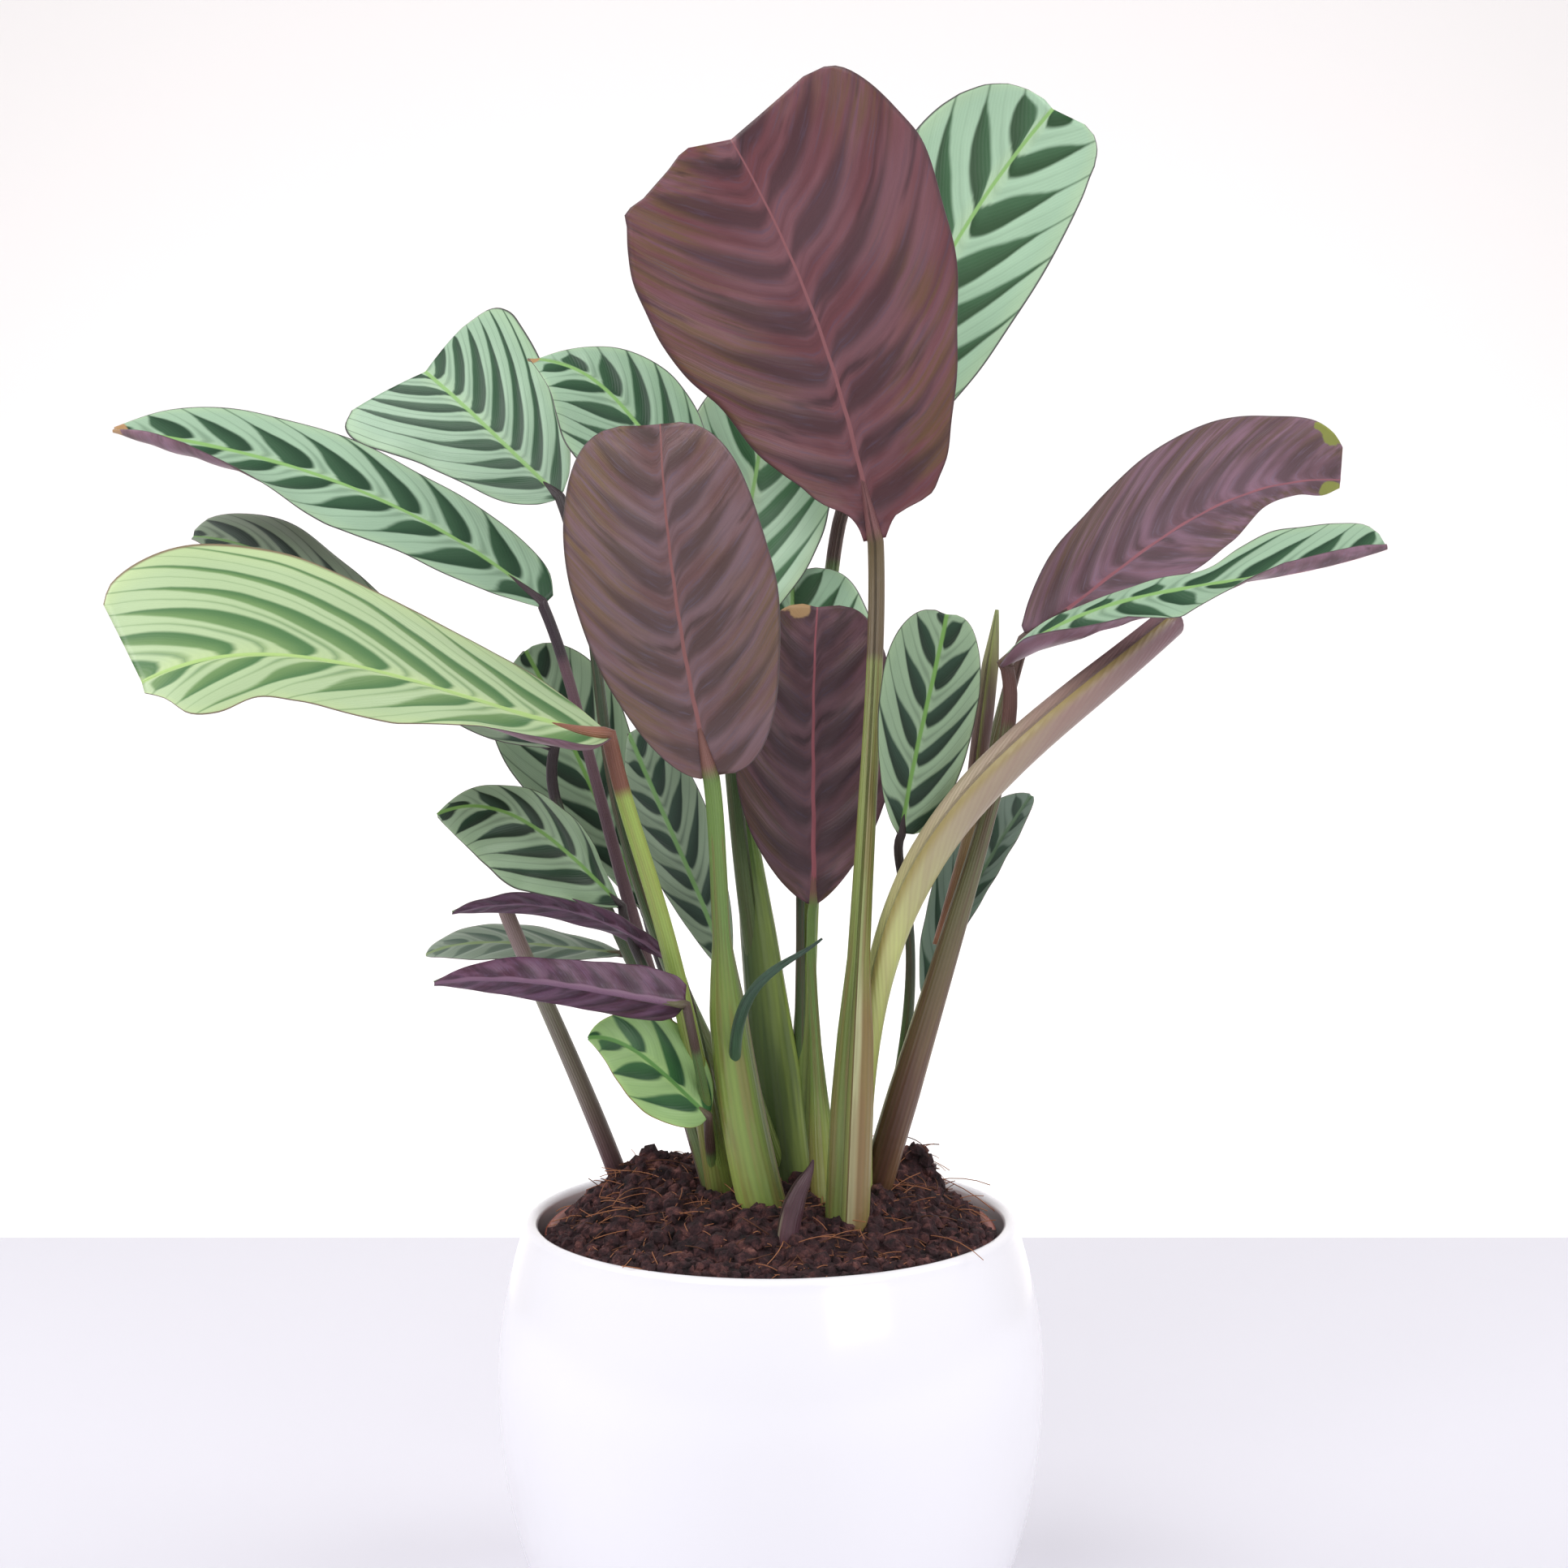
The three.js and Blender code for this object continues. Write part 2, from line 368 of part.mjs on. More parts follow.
// ---------------------------------------------------------------- pots and soil
const arc = (cx, cz, r, from, to, n) => Array.from({ length: n + 1 }, (_, i) => {
  const a = (from + (to - from) * i / n) * Math.PI / 180;
  return [cx + r * Math.cos(a), cz + r * Math.sin(a)];
});

function coverPot() {
  const P = POT, lip = (P.lipRadius - P.mouthRadius) / 2, lipZ = P.height - lip;
  const outer = [[P.footRadius, 0]];
  // foot to belly, a quarter of an oval
  for (let i = 1; i <= 8; i++) {
    const a = (i / 8) * Math.PI / 2;
    outer.push([P.footRadius + (P.bellyRadius - P.footRadius) * Math.sin(a) ** 0.9, P.bellyHeight - (P.bellyHeight - 1.5) * Math.cos(a)]);
  }
  // belly to lip, a shallower curve
  for (let i = 1; i <= 5; i++) {
    const f = i / 5;
    outer.push([P.bellyRadius - (P.bellyRadius - P.lipRadius) * f ** 1.8, P.bellyHeight + (lipZ - P.bellyHeight) * f]);
  }
  const inner = [];
  const w = P.wall;
  for (let i = 0; i <= 4; i++) {
    const f = i / 4;
    inner.push([P.mouthRadius + (P.bellyRadius - w - P.mouthRadius) * f ** 0.6, lipZ - (lipZ - P.bellyHeight) * f]);
  }
  for (let i = 1; i <= 6; i++) {
    const a = (i / 6) * Math.PI / 2;
    inner.push([(P.footRadius - 1) + (P.bellyRadius - w - P.footRadius + 1) * Math.cos(a) ** 0.9, P.bellyHeight - (P.bellyHeight - P.floor) * Math.sin(a)]);
  }
  const centre = P.mouthRadius + lip;
  return lathe([[0, 0], ...outer,
    ...arc(centre, lipZ, lip, 30, 150, 4), ...inner, [0, P.floor]]);
}

function nurseryPot() {
  const N = NURSERY, w = N.wall, r1 = N.rimRadius - N.rimLip;
  const rimZ = N.top - N.rimHeight;
  return lathe([[0, N.bottom], [N.bottomRadius, N.bottom], [r1 - 2.4, rimZ], [N.rimRadius, rimZ], [N.rimRadius, N.top],
    [N.rimRadius - N.rimLip, N.top], [SOIL.radius + 0.4, N.top - 2], [SOIL.radius + 0.4, rimZ - 4],
    [r1 - 2.4 - w - 1, rimZ - 6], [N.bottomRadius - w, N.bottom + N.floor], [0, N.bottom + N.floor]]);
}

function soilBody() {
  const S = SOIL, sides = 36, rings = [0.18, 0.36, 0.54, 0.7, 0.85, 1];
  let seed = S.seed;
  const random = () => { seed = (seed * 16807) % 2147483647; return seed / 2147483647; };
  const pos = [], index = [];
  const top = (r) => S.edge + (S.crown - S.edge) * (1 - r ** 3.2);
  const heap = (x, y) => S.mounds.reduce((z, m) => z + m.height * Math.exp(-(((x - m.at[0]) ** 2 + (y - m.at[1]) ** 2) / m.spread ** 2)), 0);
  pos.push(0, 0, top(0));
  rings.forEach((f, n) => {
    for (let k = 0; k < sides; k++) {
      const a = 2 * Math.PI * k / sides, last = n === rings.length - 1;
      const x = S.radius * f * Math.cos(a), y = S.radius * f * Math.sin(a);
      pos.push(x, y, top(f) + (last ? 0 : heap(x, y) + (random() - 0.4) * 2 * S.lump));
    }
  });
  // walls follow the nursery pot, a small gap inside it
  const wallRings = [[S.radius, NURSERY.top - NURSERY.rimHeight - 4.6], [NURSERY.rimRadius - NURSERY.rimLip - 2.4 - NURSERY.wall - 1.6, NURSERY.top - NURSERY.rimHeight - 6.6],
    [NURSERY.bottomRadius - NURSERY.wall - 0.5, NURSERY.bottom + NURSERY.floor]];
  for (const [r, z] of wallRings)
    for (let k = 0; k < sides; k++) {
      const a = 2 * Math.PI * k / sides;
      pos.push(r * Math.cos(a), r * Math.sin(a), z);
    }
  const end = pos.length / 3;
  pos.push(0, 0, NURSERY.bottom + NURSERY.floor);
  const levels = rings.length + wallRings.length;
  for (let k = 0; k < sides; k++) {
    const n = (k + 1) % sides;
    index.push(0, 1 + k, 1 + n);
    for (let l = 0; l < levels - 1; l++) {
      const a = 1 + l * sides + k, b = 1 + l * sides + n;
      index.push(a, a + sides, b + sides, a, b + sides, b);
    }
    index.push(end, 1 + (levels - 1) * sides + n, 1 + (levels - 1) * sides + k);
  }
  const g = new THREE.BufferGeometry();
  g.setAttribute('position', new THREE.BufferAttribute(new Float32Array(pos), 3));
  g.setIndex(index);
  let body = solid(g);
  const feet = [...Object.values(SHOOTS), CUT_STALK, BUD];
  for (const f of feet) body = body.subtract(upright(...f.foot, f.radius + S.clearance, S.holeFloor, 150));
  return body;
}

// ---------------------------------------------------------------- the part
const paint = (hex, roughness) => new THREE.MeshStandardMaterial({ color: hex, roughness, metalness: 0 });
const LEAF = paint(0x7fae84, 0.45), MAUVE = paint(0x7d5a68, 0.5);
const group = new THREE.Group();
group.name = 'potted_ctenanthe';

const bodies = {};
for (const [name, s] of Object.entries(SHOOTS)) bodies[name] = [shoot(s), LEAF];
for (const [name, s] of [['cut_stalk', CUT_STALK], ['bud', BUD]])
  bodies[name] = [upright(...s.foot, s.radius, SOIL.holeFloor, 133, 10, s.radius * 0.95).add(rod(s.path, s.radii, 6)), MAUVE];
bodies.soil = [soilBody(), paint(0x33241c, 0.95)];
bodies.nursery_pot = [nurseryPot(), paint(0x9a4a35, 0.6)];
bodies.cover_pot = [coverPot(), paint(0xf4f3f8, 0.15)];

for (const [name, [body, material]] of Object.entries(bodies)) group.add(meshOf(name, body, material));

export default group;
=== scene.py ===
# %% [markdown]
# # A potted ctenanthe
#
# This notebook dresses the CAD model of a potted ctenanthe: a prayer plant with herringbone leaves,
# purple underneath, in a white glazed cover pot. Every step is one cell. The plant is written in
# millimetres, as a gardener would measure it, and turned into metres when a mesh is made.

import math
from functools import partialmethod

import bpy
import bmesh
import numpy as np
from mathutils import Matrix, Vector


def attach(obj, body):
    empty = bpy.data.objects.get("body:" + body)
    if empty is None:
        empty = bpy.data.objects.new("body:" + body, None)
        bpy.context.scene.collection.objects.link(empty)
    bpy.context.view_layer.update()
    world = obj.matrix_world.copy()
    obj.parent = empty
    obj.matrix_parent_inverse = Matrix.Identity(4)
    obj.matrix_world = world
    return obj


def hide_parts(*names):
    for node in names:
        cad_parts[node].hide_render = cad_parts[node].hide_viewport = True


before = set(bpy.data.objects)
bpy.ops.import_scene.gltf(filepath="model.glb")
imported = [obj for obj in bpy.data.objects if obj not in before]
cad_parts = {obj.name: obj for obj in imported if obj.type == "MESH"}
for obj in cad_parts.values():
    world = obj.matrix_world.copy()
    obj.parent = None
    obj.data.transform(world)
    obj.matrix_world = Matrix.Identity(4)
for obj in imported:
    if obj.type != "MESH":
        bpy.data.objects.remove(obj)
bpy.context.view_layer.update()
MM = 0.001
print("CAD nodes:", sorted(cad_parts))

# %% [markdown]
# ## The camera
#
# The camera stands a little above the pot and looks slightly down. Its lens is given by the angle of
# view: `focal_px` is the focal length counted in picture widths, so `lens = focal_px / width * sensor`.

# %% Camera
PICTURE = 1932
FOCAL_PX = 3000
SENSOR = 36
CAMERA_AT = Vector((3.6, -657.0, 282.0)) * MM
PITCH_DOWN = math.radians(4.0)


def add_object(name, data):
    made = bpy.data.objects.new(name, data)
    bpy.context.collection.objects.link(made)
    return made


camera = add_object("camera", bpy.data.cameras.new("camera"))
camera.data.sensor_width = SENSOR
camera.data.lens = FOCAL_PX / PICTURE * SENSOR
camera.location = CAMERA_AT
camera.rotation_euler = (math.pi / 2 - PITCH_DOWN, 0, 0)
bpy.context.scene.camera = camera
print(f"lens {camera.data.lens:.1f} mm")

# %% [markdown]
# ## Small tools for colours and nodes
#
# Colours are written as sRGB hex values, as a colour picker shows them. Shaders work with linear
# light, so one function turns them. A second function adds a node, sets its options and links its
# inputs, for shaders and for Geometry Nodes alike, which keeps each material short enough to read.


# %% Colour and node helpers
def linear(hex_value):
    channels = [(hex_value >> shift & 255) / 255 for shift in (16, 8, 0)]
    return (*[c / 12.92 if c <= 0.04045 else ((c + 0.055) / 1.055) ** 2.4 for c in channels], 1.0)


def add_node(tree, kind, inputs=None, **settings):
    """An input that is given a socket is linked to it, any other input is given the value."""
    made = tree.nodes.new(kind)
    for key, value in settings.items():
        setattr(made, key, value)
    for key, value in (inputs or {}).items():
        if isinstance(value, bpy.types.NodeSocket):
            tree.links.new(value, made.inputs[key])
        else:
            made.inputs[key].default_value = value
    return made


class Shader:
    """A material under construction. Colours are hex values or sockets."""

    def __init__(self, name):
        self.material = bpy.data.materials.new(name)
        self.material.use_nodes = True
        self.tree = self.material.node_tree
        self.tree.nodes.clear()
        self.output = self.add("ShaderNodeOutputMaterial")

    def add(self, kind, inputs=None, **settings):
        return add_node(self.tree, kind, inputs, **settings)

    def math(self, operation, a, b=0.0, c=0.0):
        return self.add("ShaderNodeMath", {0: a, 1: b, 2: c}, operation=operation).outputs[0]

    plus = partialmethod(math, "ADD")
    minus = partialmethod(math, "SUBTRACT")
    times = partialmethod(math, "MULTIPLY")
    line = partialmethod(math, "MULTIPLY_ADD")  # value, slope, start
    abs = partialmethod(math, "ABSOLUTE")

    def coords(self):
        return self.add("ShaderNodeTexCoord").outputs["Object"]

    def xy(self, x, y):
        return self.add("ShaderNodeCombineXYZ", {0: x, 1: y}).outputs[0]

    def attribute(self, name):
        return self.add("ShaderNodeAttribute", attribute_name=name).outputs["Fac"]

    def noise(self, vector, scale, detail=2.0, rough=0.5):
        inputs = {"Vector": vector, "Scale": scale, "Detail": detail, "Roughness": rough}
        return self.add("ShaderNodeTexNoise", inputs).outputs["Fac"]

    def ramp(self, factor, stops, interpolation="LINEAR"):
        """stops: (position, colour as an int or grey level as a float), in order."""
        node = self.add("ShaderNodeValToRGB", {"Fac": factor})
        node.color_ramp.interpolation = interpolation
        elements = node.color_ramp.elements
        while len(elements) < len(stops):
            elements.new(0.5)
        for element, (position, colour) in zip(elements, stops):
            element.position = position
            element.color = (colour, colour, colour, 1) if isinstance(colour, float) else linear(colour)
        return node.outputs["Color"]

    def mix(self, factor, a, b):
        a, b = (linear(colour) if isinstance(colour, int) else colour for colour in (a, b))
        return self.add("ShaderNodeMix", {0: factor, 6: a, 7: b}, data_type="RGBA").outputs[2]

    def tint(self, colour, hue, mask, strength=None):
        """The colour, turned into the hue where the mask is 1."""
        return self.mix(mask if strength is None else self.times(mask, strength), colour, hue)

    def smooth(self, value, low, high):
        """0 below low, 1 above high, smooth between."""
        inputs = {"Value": value, "From Min": low, "From Max": high}
        return self.add("ShaderNodeMapRange", inputs, interpolation_type="SMOOTHSTEP").outputs["Result"]

    def below(self, value, low, high):
        """1 below low, 0 above high, smooth between."""
        return self.minus(1.0, self.smooth(value, low, high))

    def finish(self, colour, roughness, bump=None, depth=0.0, **constants):
        if isinstance(colour, int):
            colour = linear(colour)
        surface = self.add("ShaderNodeBsdfPrincipled", {"Base Color": colour, "Roughness": roughness})
        for key, value in constants.items():
            surface.inputs[key.replace("_", " ")].default_value = value
        if bump is not None:
            normal = self.add("ShaderNodeBump", {"Height": bump, "Strength": 1.0, "Distance": depth})
            self.tree.links.new(normal.outputs[0], surface.inputs["Normal"])
        self.tree.links.new(surface.outputs[0], self.output.inputs[0])
        return self.material


def plain(name, colour, roughness, spots=None):
    """spots: the colour of soft spots, and how fine they are."""
    sh = Shader(name)
    if spots:
        colour = sh.mix(sh.noise(sh.coords(), spots[1], 3), colour, spots[0])
    return sh.finish(colour, roughness)


# %% [markdown]
# ## Mesh helpers
#
# Meshes are made from NumPy arrays of points. Point attributes carry what the shaders need, such as
# where on the leaf a point lies, so that the pattern follows the leaf and not the room. Stalks, pots
# and soil are all skins over a row of rings.


# %% Mesh helpers
def make_mesh(name, points_mm, faces, materials, face_slots=None, attributes=None, closed=True):
    mesh = bpy.data.meshes.new(name)
    mesh.from_pydata((np.asarray(points_mm) * MM).tolist(), [], [list(f) for f in faces])
    for material in materials:
        mesh.materials.append(material)
    if face_slots is not None:
        mesh.polygons.foreach_set("material_index", np.asarray(face_slots, dtype=np.int32))
    mesh.polygons.foreach_set("use_smooth", np.full(len(mesh.polygons), True))
    for key, values in (attributes or {}).items():
        data = mesh.attributes.new(key, "FLOAT", "POINT").data
        data.foreach_set("value", np.asarray(values, dtype=np.float32))
    mesh.update()
    piece = add_object(name, mesh)
    if closed:
        turn_outwards(piece)
    return piece


def turn_outwards(piece):
    """A closed mesh that is inside out is reversed."""
    shape = bmesh.new()
    shape.from_mesh(piece.data)
    if shape.calc_volume(signed=True) < 0:
        bmesh.ops.reverse_faces(shape, faces=shape.faces)
        shape.to_mesh(piece.data)
    shape.free()


def dress(piece, slot, *nodes):
    """The piece belongs to the object: it rides on the root and stands for its CAD nodes."""
    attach(piece, "root")
    if nodes:
        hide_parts(*nodes)
    return piece


def ring_faces(starts, count):
    """Quads between rings of `count` points, each given by the number of its first point."""
    return [
        (a + k, a + (k + 1) % count, b + (k + 1) % count, b + k)
        for a, b in zip(starts, starts[1:]) for k in range(count)
    ]


def skin(rings, first, last):
    """Points and faces of a closed skin over rings of points, with a middle point at each end."""
    n, count = np.shape(rings)[:2]
    faces, end = ring_faces(range(0, n * count, count), count), (n - 1) * count
    for k in range(count):
        m = (k + 1) % count
        faces += [(n * count, m, k), (n * count + 1, end + k, end + m)]
    return np.concatenate([np.reshape(rings, (-1, 3)), [first, last]]), faces


def circle(radius, z, sides):
    angle = np.linspace(0, 2 * np.pi, sides, endpoint=False)
    return np.stack([radius * np.cos(angle), radius * np.sin(angle), np.full(sides, z)], -1)


def unit(v):
    return v / np.maximum(np.linalg.norm(v, axis=-1, keepdims=True), 1e-9)


def through_four(points, t):
    """The smooth curve that passes four points at t = 0, 1/3, 2/3 and 1."""
    p, t = np.asarray(points, float), np.asarray(t, float)[..., None]
    weights = (
        (1 - 3 * t) * (2 - 3 * t) * (1 - t) / 2,
        9 * t * (2 - 3 * t) * (1 - t) / 2,
        -9 * t * (1 - 3 * t) * (1 - t) / 2,
        t * (1 - 3 * t) * (2 - 3 * t) / 2,
    )
    return sum(w * point for w, point in zip(weights, p))


def evenly(points, count, start=0.0, end=1.0):
    """Points at even distances along that curve, with its length."""
    fine = np.linspace(0, 1, 400)
    curve = through_four(points, fine)
    run = np.r_[0, np.cumsum(np.linalg.norm(np.diff(curve, axis=0), axis=1))]
    wanted = np.linspace(start, end, count) * run[-1]
    return through_four(points, np.interp(wanted, run, fine)), run[-1]


def listed(values, t):
    """A number, or a list of numbers spread over 0 to 1, at the places t."""
    values = np.atleast_1d(np.asarray(values, float))
    if len(values) == 1:
        return np.full(len(t), values[0])
    return np.interp(t, np.linspace(0, 1, len(values)), values)


# %% [markdown]
# ## The leaves
#
# Each leaf is written down as the real one is seen: its midrib (`rib`) as four points from base to
# tip, the way its upper side looks at base, middle and tip (`face`), its half width on either side,
# and its stalk down to the soil. A `stem` of two or three points starts at the blade, and one of two
# ends where its shoot stands in the soil. `widest` moves the broadest place towards the tip, `blunt`
# says how square base and tip are, `fold` folds the blade at the midrib, and `cup` curls each half
# (degrees; a list goes from base to tip, a pair is for the two sides). Leaves with an odd outline
# have both margins written out as `margin`: places along the midrib, each with its half width. `look`
# names the materials of upper side, under side and stalk.

# %% Leaf sizes in millimetres
LEAVES = {
    "front": dict(
        look="mint greyed front", rib=[(-15, -35, 240), (-21, -43, 270), (-25, -50, 300), (-27, -50, 329)],
        stem=[(-13, -34, 210), (-10, -31, 170)], radii=(2.2, 2.2, 2.4, 4.8, 5.6, 6, 6.2),
        face=[(0, 1, 0.2), (0, 1, 0.1), (0, 1, -0.1)], width=(27, 27), widest=(1.1, 1.9),
        blunt=((0.32, 0.36), (0.28, 0.24)), fold=-10, cup=-20, sweep=(0, -0.1), bars=8, veins=(0.5, 0.6),
        pleat=0.6),
    "tall": dict(
        look="mint burgundy tall", rib=[(28, -6, 301), (19.5, -12, 336), (7.5, -20, 369), (-10, -26, 403)],
        stem=[(27.2, -15, 262), (23.5, -30, 204)],
        radii=(2.2, 2.2, 2.2, 2.3, 2.5, 2.7, 3, 4.7, 5.6, 5.8, 5.8),
        face=[(0.1, 1, 0.1), (0, 1, 0.2), (0, 1, 0.3)], fold=-6, cup=-12, sweep=(0.15, 0.35), bars=8,
        veins=(0.28, 0.5), pleat=0.8, ragged=0.35,
        margin=(
            [(0, 2.5), (0.06, 7), (0.075, 11.5), (0.092, 17), (0.134, 20.7), (0.18, 24), (0.25, 27),
             (0.4, 33.2), (0.5, 37.2), (0.6, 40.6), (0.68, 42.4), (0.75, 43.2), (0.8, 43), (0.86, 41),
             (0.91, 38.8), (0.94, 36.6), (0.975, 33), (0.99, 29), (1, 23)],
            [(0, 3), (0.05, 4), (0.085, 6.3), (0.117, 11), (0.146, 14), (0.18, 16.5), (0.22, 20.3),
             (0.29, 25.7), (0.43, 31.5), (0.52, 37), (0.61, 39.8), (0.68, 40.6), (0.75, 40.2), (0.82, 37.4),
             (0.87, 34.8), (0.9, 33), (0.91, 29), (0.93, 24.5), (0.967, 17), (0.985, 14), (1, 10)],
        ),
    ),
    "middle": dict(
        look="mint plum front", rib=[(11.5, -4, 203.5), (11.5, -4, 231), (11.5, -4, 257), (12.5, -4, 284)],
        stem=[(11, -6, 190), (12.5, -13, 160), (15.5, -25, 118)],
        radii=(1.2, 1.2, 1.3, 1.6, 2.4, 3.4, 3.8, 3.9), face=[(0, 1, 0.2), (0, 1, 0.1), (0, 1, 0.1)],
        width=(22.2, 21.2), widest=(1.3, 1.1), blunt=((0.55, 0.3), (0.58, 0.36)), bars=6, veins=(0.45, 0.6),
        pleat=0.6, scorch=[(0.995, 5, 3), (0.99, 9, 2)]),
    "small": dict(
        look="deep plum dark", rib=[(34, -29, 225), (37, -33, 244), (41, -36, 263), (45, -37, 282)],
        stem=[(35, -21, 211), (37, -14, 180)], radii=(1.2, 1.3, 1.8, 3), face=[(0.1, -1, 0.3)] * 3,
        width=(13, 13), widest=(2.0, 1.1), blunt=((0.31, 0.34), (0.33, 0.36)), fold=6, bars=5.5),
    "upper": dict(
        look="mint lilac rust", rib=[(67.3, -12, 275.4), (94, -8, 295.5), (121, -4, 312), (153, 0, 318)],
        stem=[(67, -12, 275), (62, -14, 258), (54, -18, 228), (45, -23, 195)], radii=(1.8, 2, 2.2, 2.6),
        face=[(-0.4, 0.8, 0.5)] * 3, sweep=(0.15, -0.15), bars=8, veins=(0.6, 0.7), pleat=0.5,
        yellow=[(0.97, -3, 2.5), (0.97, 13, 2.5), (0.94, 16, 1.5)],
        margin=(
            [(0, 4), (0.1, 10), (0.3, 15), (0.5, 17), (0.67, 14), (0.78, 6.5), (0.88, 4.5), (0.95, 5),
             (1, 2.5)],
            [(0, 4), (0.06, 10), (0.17, 18), (0.33, 22.5), (0.5, 26), (0.67, 26), (0.83, 21), (0.92, 18),
             (0.97, 14), (1, 9)],
        ),
    ),
    "wavy": dict(
        look="banded lilac reddish",
        rib=[(59, -30, 268.5), (87.5, -38, 284.5), (119, -44, 290.5), (154, -48, 298.5)],
        stem=[(61, -30, 268), (60, -29, 245), (48, -26, 200), (26, -6, 118)],
        radii=(1.8, 2.2, 3.2, 4.2, 4.4), face=[(0, -0.6, 0.8)] * 3,
        fold=(0, [0, -5, -20, -20, -15, 10, 45, 50, 50]), cup=(0, [100, 100, 100, 80, 20, 20, 40, 40, 40]),
        sweep=(0, 0), wave=0.6, bars=8,
        margin=(
            [(0, 1), (0.1, 3.5), (0.19, 4), (0.29, 4.5), (0.47, 5.5), (0.58, 8), (0.66, 14), (0.75, 17.5),
             (0.83, 17.5), (0.92, 15), (0.98, 11), (1, 5)],
            [(0, 2), (0.08, 14), (0.17, 19), (0.33, 18), (0.45, 12), (0.55, 8), (0.65, 6), (0.8, 6),
             (0.93, 5), (1, 2)],
        ),
    ),
    "near": dict(
        look="lime lilac yellow",
        rib=[(-40, -52, 252), (-76, -72, 263), (-111, -88, 272), (-144, -98, 266)],
        stem=[(-33, -50, 225), (-24, -40, 190)], radii=(2, 2.2, 2.4, 3, 4),
        face=[(0, -0.35, 0.93), (0, -0.5, 0.85), (-0.2, -0.6, 0.8)],
        fold=([-50, -45, -25, -12, -12, -12, -12], 12), cup=([110, 100, 50, -6, -6, -6, -6], 10),
        sweep=(0.15, 0), bars=7, veins=(1.3, 0.9),
        margin=(
            [(0, 3), (0.08, 14), (0.2, 17), (0.3, 15), (0.4, 14.5), (0.55, 16), (0.7, 14.5), (0.78, 12.5),
             (0.86, 16.5), (0.92, 15), (0.96, 8), (1, 3)],
            [(0, 1), (0.06, 10), (0.14, 16), (0.28, 21), (0.42, 24), (0.55, 27), (0.7, 33), (0.8, 36),
             (0.9, 36), (0.97, 32), (1, 26)],
        ),
    ),
    "behind": dict(
        look="shaded plum dark", rib=[(-57, -14, 247), (-84, -14, 264), (-117, -14, 289), (-152, -14, 302)],
        stem=[(-54, -14, 225), (-37, -14, 190)], radii=(1.5, 1.5, 1.8, 2.6, 4),
        face=[(0, -0.5, 0.85), (0, -0.48, 0.88), (0, -0.45, 0.9)], bars=8,
        margin=(
            [(0, 1), (0.15, 9), (0.4, 15), (0.7, 14), (0.9, 8), (1, 1)],
            [(0, 1), (0.1, 5), (0.3, 7), (0.5, 9), (0.65, 13), (0.8, 18), (0.9, 18), (0.97, 13), (1, 4)],
        ),
    ),
    "long": dict(
        look="banded lilac mauve",
        rib=[(-59, -12, 284), (-93, -10, 307), (-131, -10, 322), (-172, -15, 330)],
        stem=[(-60, -12, 284), (-51, -10, 255), (-38, -9, 205), (-12, -10, 118)],
        radii=(1.5, 1.5, 1.8, 2.6, 4), face=[(-0.1, -0.5, 0.85), (0, -0.5, 0.85), (-0.1, -0.45, 0.85)],
        fold=([-8, -8, -8, -8, -25, -30, -30], 10), cup=([-10, -10, -10, -10, 60, 110, 120], 0), bars=8,
        veins=(0.7, 0.8), scorch=[(1, 0, 3.5)],
        margin=(
            [(0, 1), (0.05, 4), (0.12, 8), (0.25, 12), (0.4, 14), (0.55, 16), (0.67, 14), (0.8, 15),
             (0.9, 12), (1, 2)],
            [(0, 3), (0.05, 9), (0.12, 12), (0.25, 14), (0.4, 15.5), (0.55, 18), (0.67, 19), (0.8, 17),
             (0.9, 12), (1, 1)],
        ),
    ),
    "lower": dict(
        look="deep plum dark", rib=[(-38, -35, 207), (-51, -42, 221), (-66, -48, 232), (-83, -52, 232)],
        stem=[(-33, -34, 192), (-23, -25, 165)], radii=(1.2, 1.4, 1.8, 4),
        face=[(0, -0.7, 0.7), (-0.1, -0.7, 0.7), (-0.1, -0.7, 0.7)], width=(19.5, 10.5), widest=(1.6, 1.15),
        blunt=((0.52, 0.75), (0.9, 1.0)), bars=5.5),
    "folded": dict(
        look="mint violet green", rib=[(-21, -50, 184), (-41, -60, 189), (-61, -68, 193), (-81, -74, 193)],
        stem=[(-19, -44, 172), (-16, -28, 150)], radii=(1.2, 1.3, 1.6, 4), face=[(0, 0.95, 0.3)] * 3,
        fold=(35, 15), cup=10, bars=7,
        margin=(
            [(0, 5), (0.06, 7.2), (0.3, 7.5), (0.6, 6), (0.85, 3.6), (1, 0.6)],
            [(0, 5), (0.06, 7.6), (0.3, 8.2), (0.6, 7), (0.85, 4), (1, 0.6)],
        ),
    ),
    "pale": dict(
        look="faded plum green", rib=[(-39, -8, 191), (-60, -8, 193), (-78, -10, 194), (-92, -12, 191)],
        stem=[(-32, -8, 180), (-21, -8, 158)], radii=(1.1, 1.2, 1.6, 4), face=[(0, -0.4, 0.9)] * 3,
        width=(9, 10), widest=(1.3, 1.3), blunt=((0.6, 0.7), (0.6, 0.7)), bars=6),
    "curled": dict(
        look="shaded violet green",
        rib=[(-24, -34, 192), (-42, -40, 204), (-61, -44, 209), (-80, -48, 207)],
        stem=[(-20, -30, 178), (-15, -20, 152)], radii=(1.1, 1.2, 1.6, 4), face=[(0, 0.6, 0.75)] * 3,
        width=(5, 6), widest=(1.2, 1.2), blunt=[(0.6, 0.6)] * 2, bars=7),
    "round": dict(
        look="young plum green", rib=[(-16, -33, 152), (-26, -39, 163), (-36, -44, 172), (-46, -48, 175)],
        stem=[(-16, -28, 146), (-15, -18, 134)], radii=(1.2, 1.4, 2, 4), face=[(0, -0.8, 0.6)] * 3,
        width=(11.5, 13.5), widest=(1, 0.95), blunt=((0.45, 0.75), (0.5, 0.85)), bars=3),
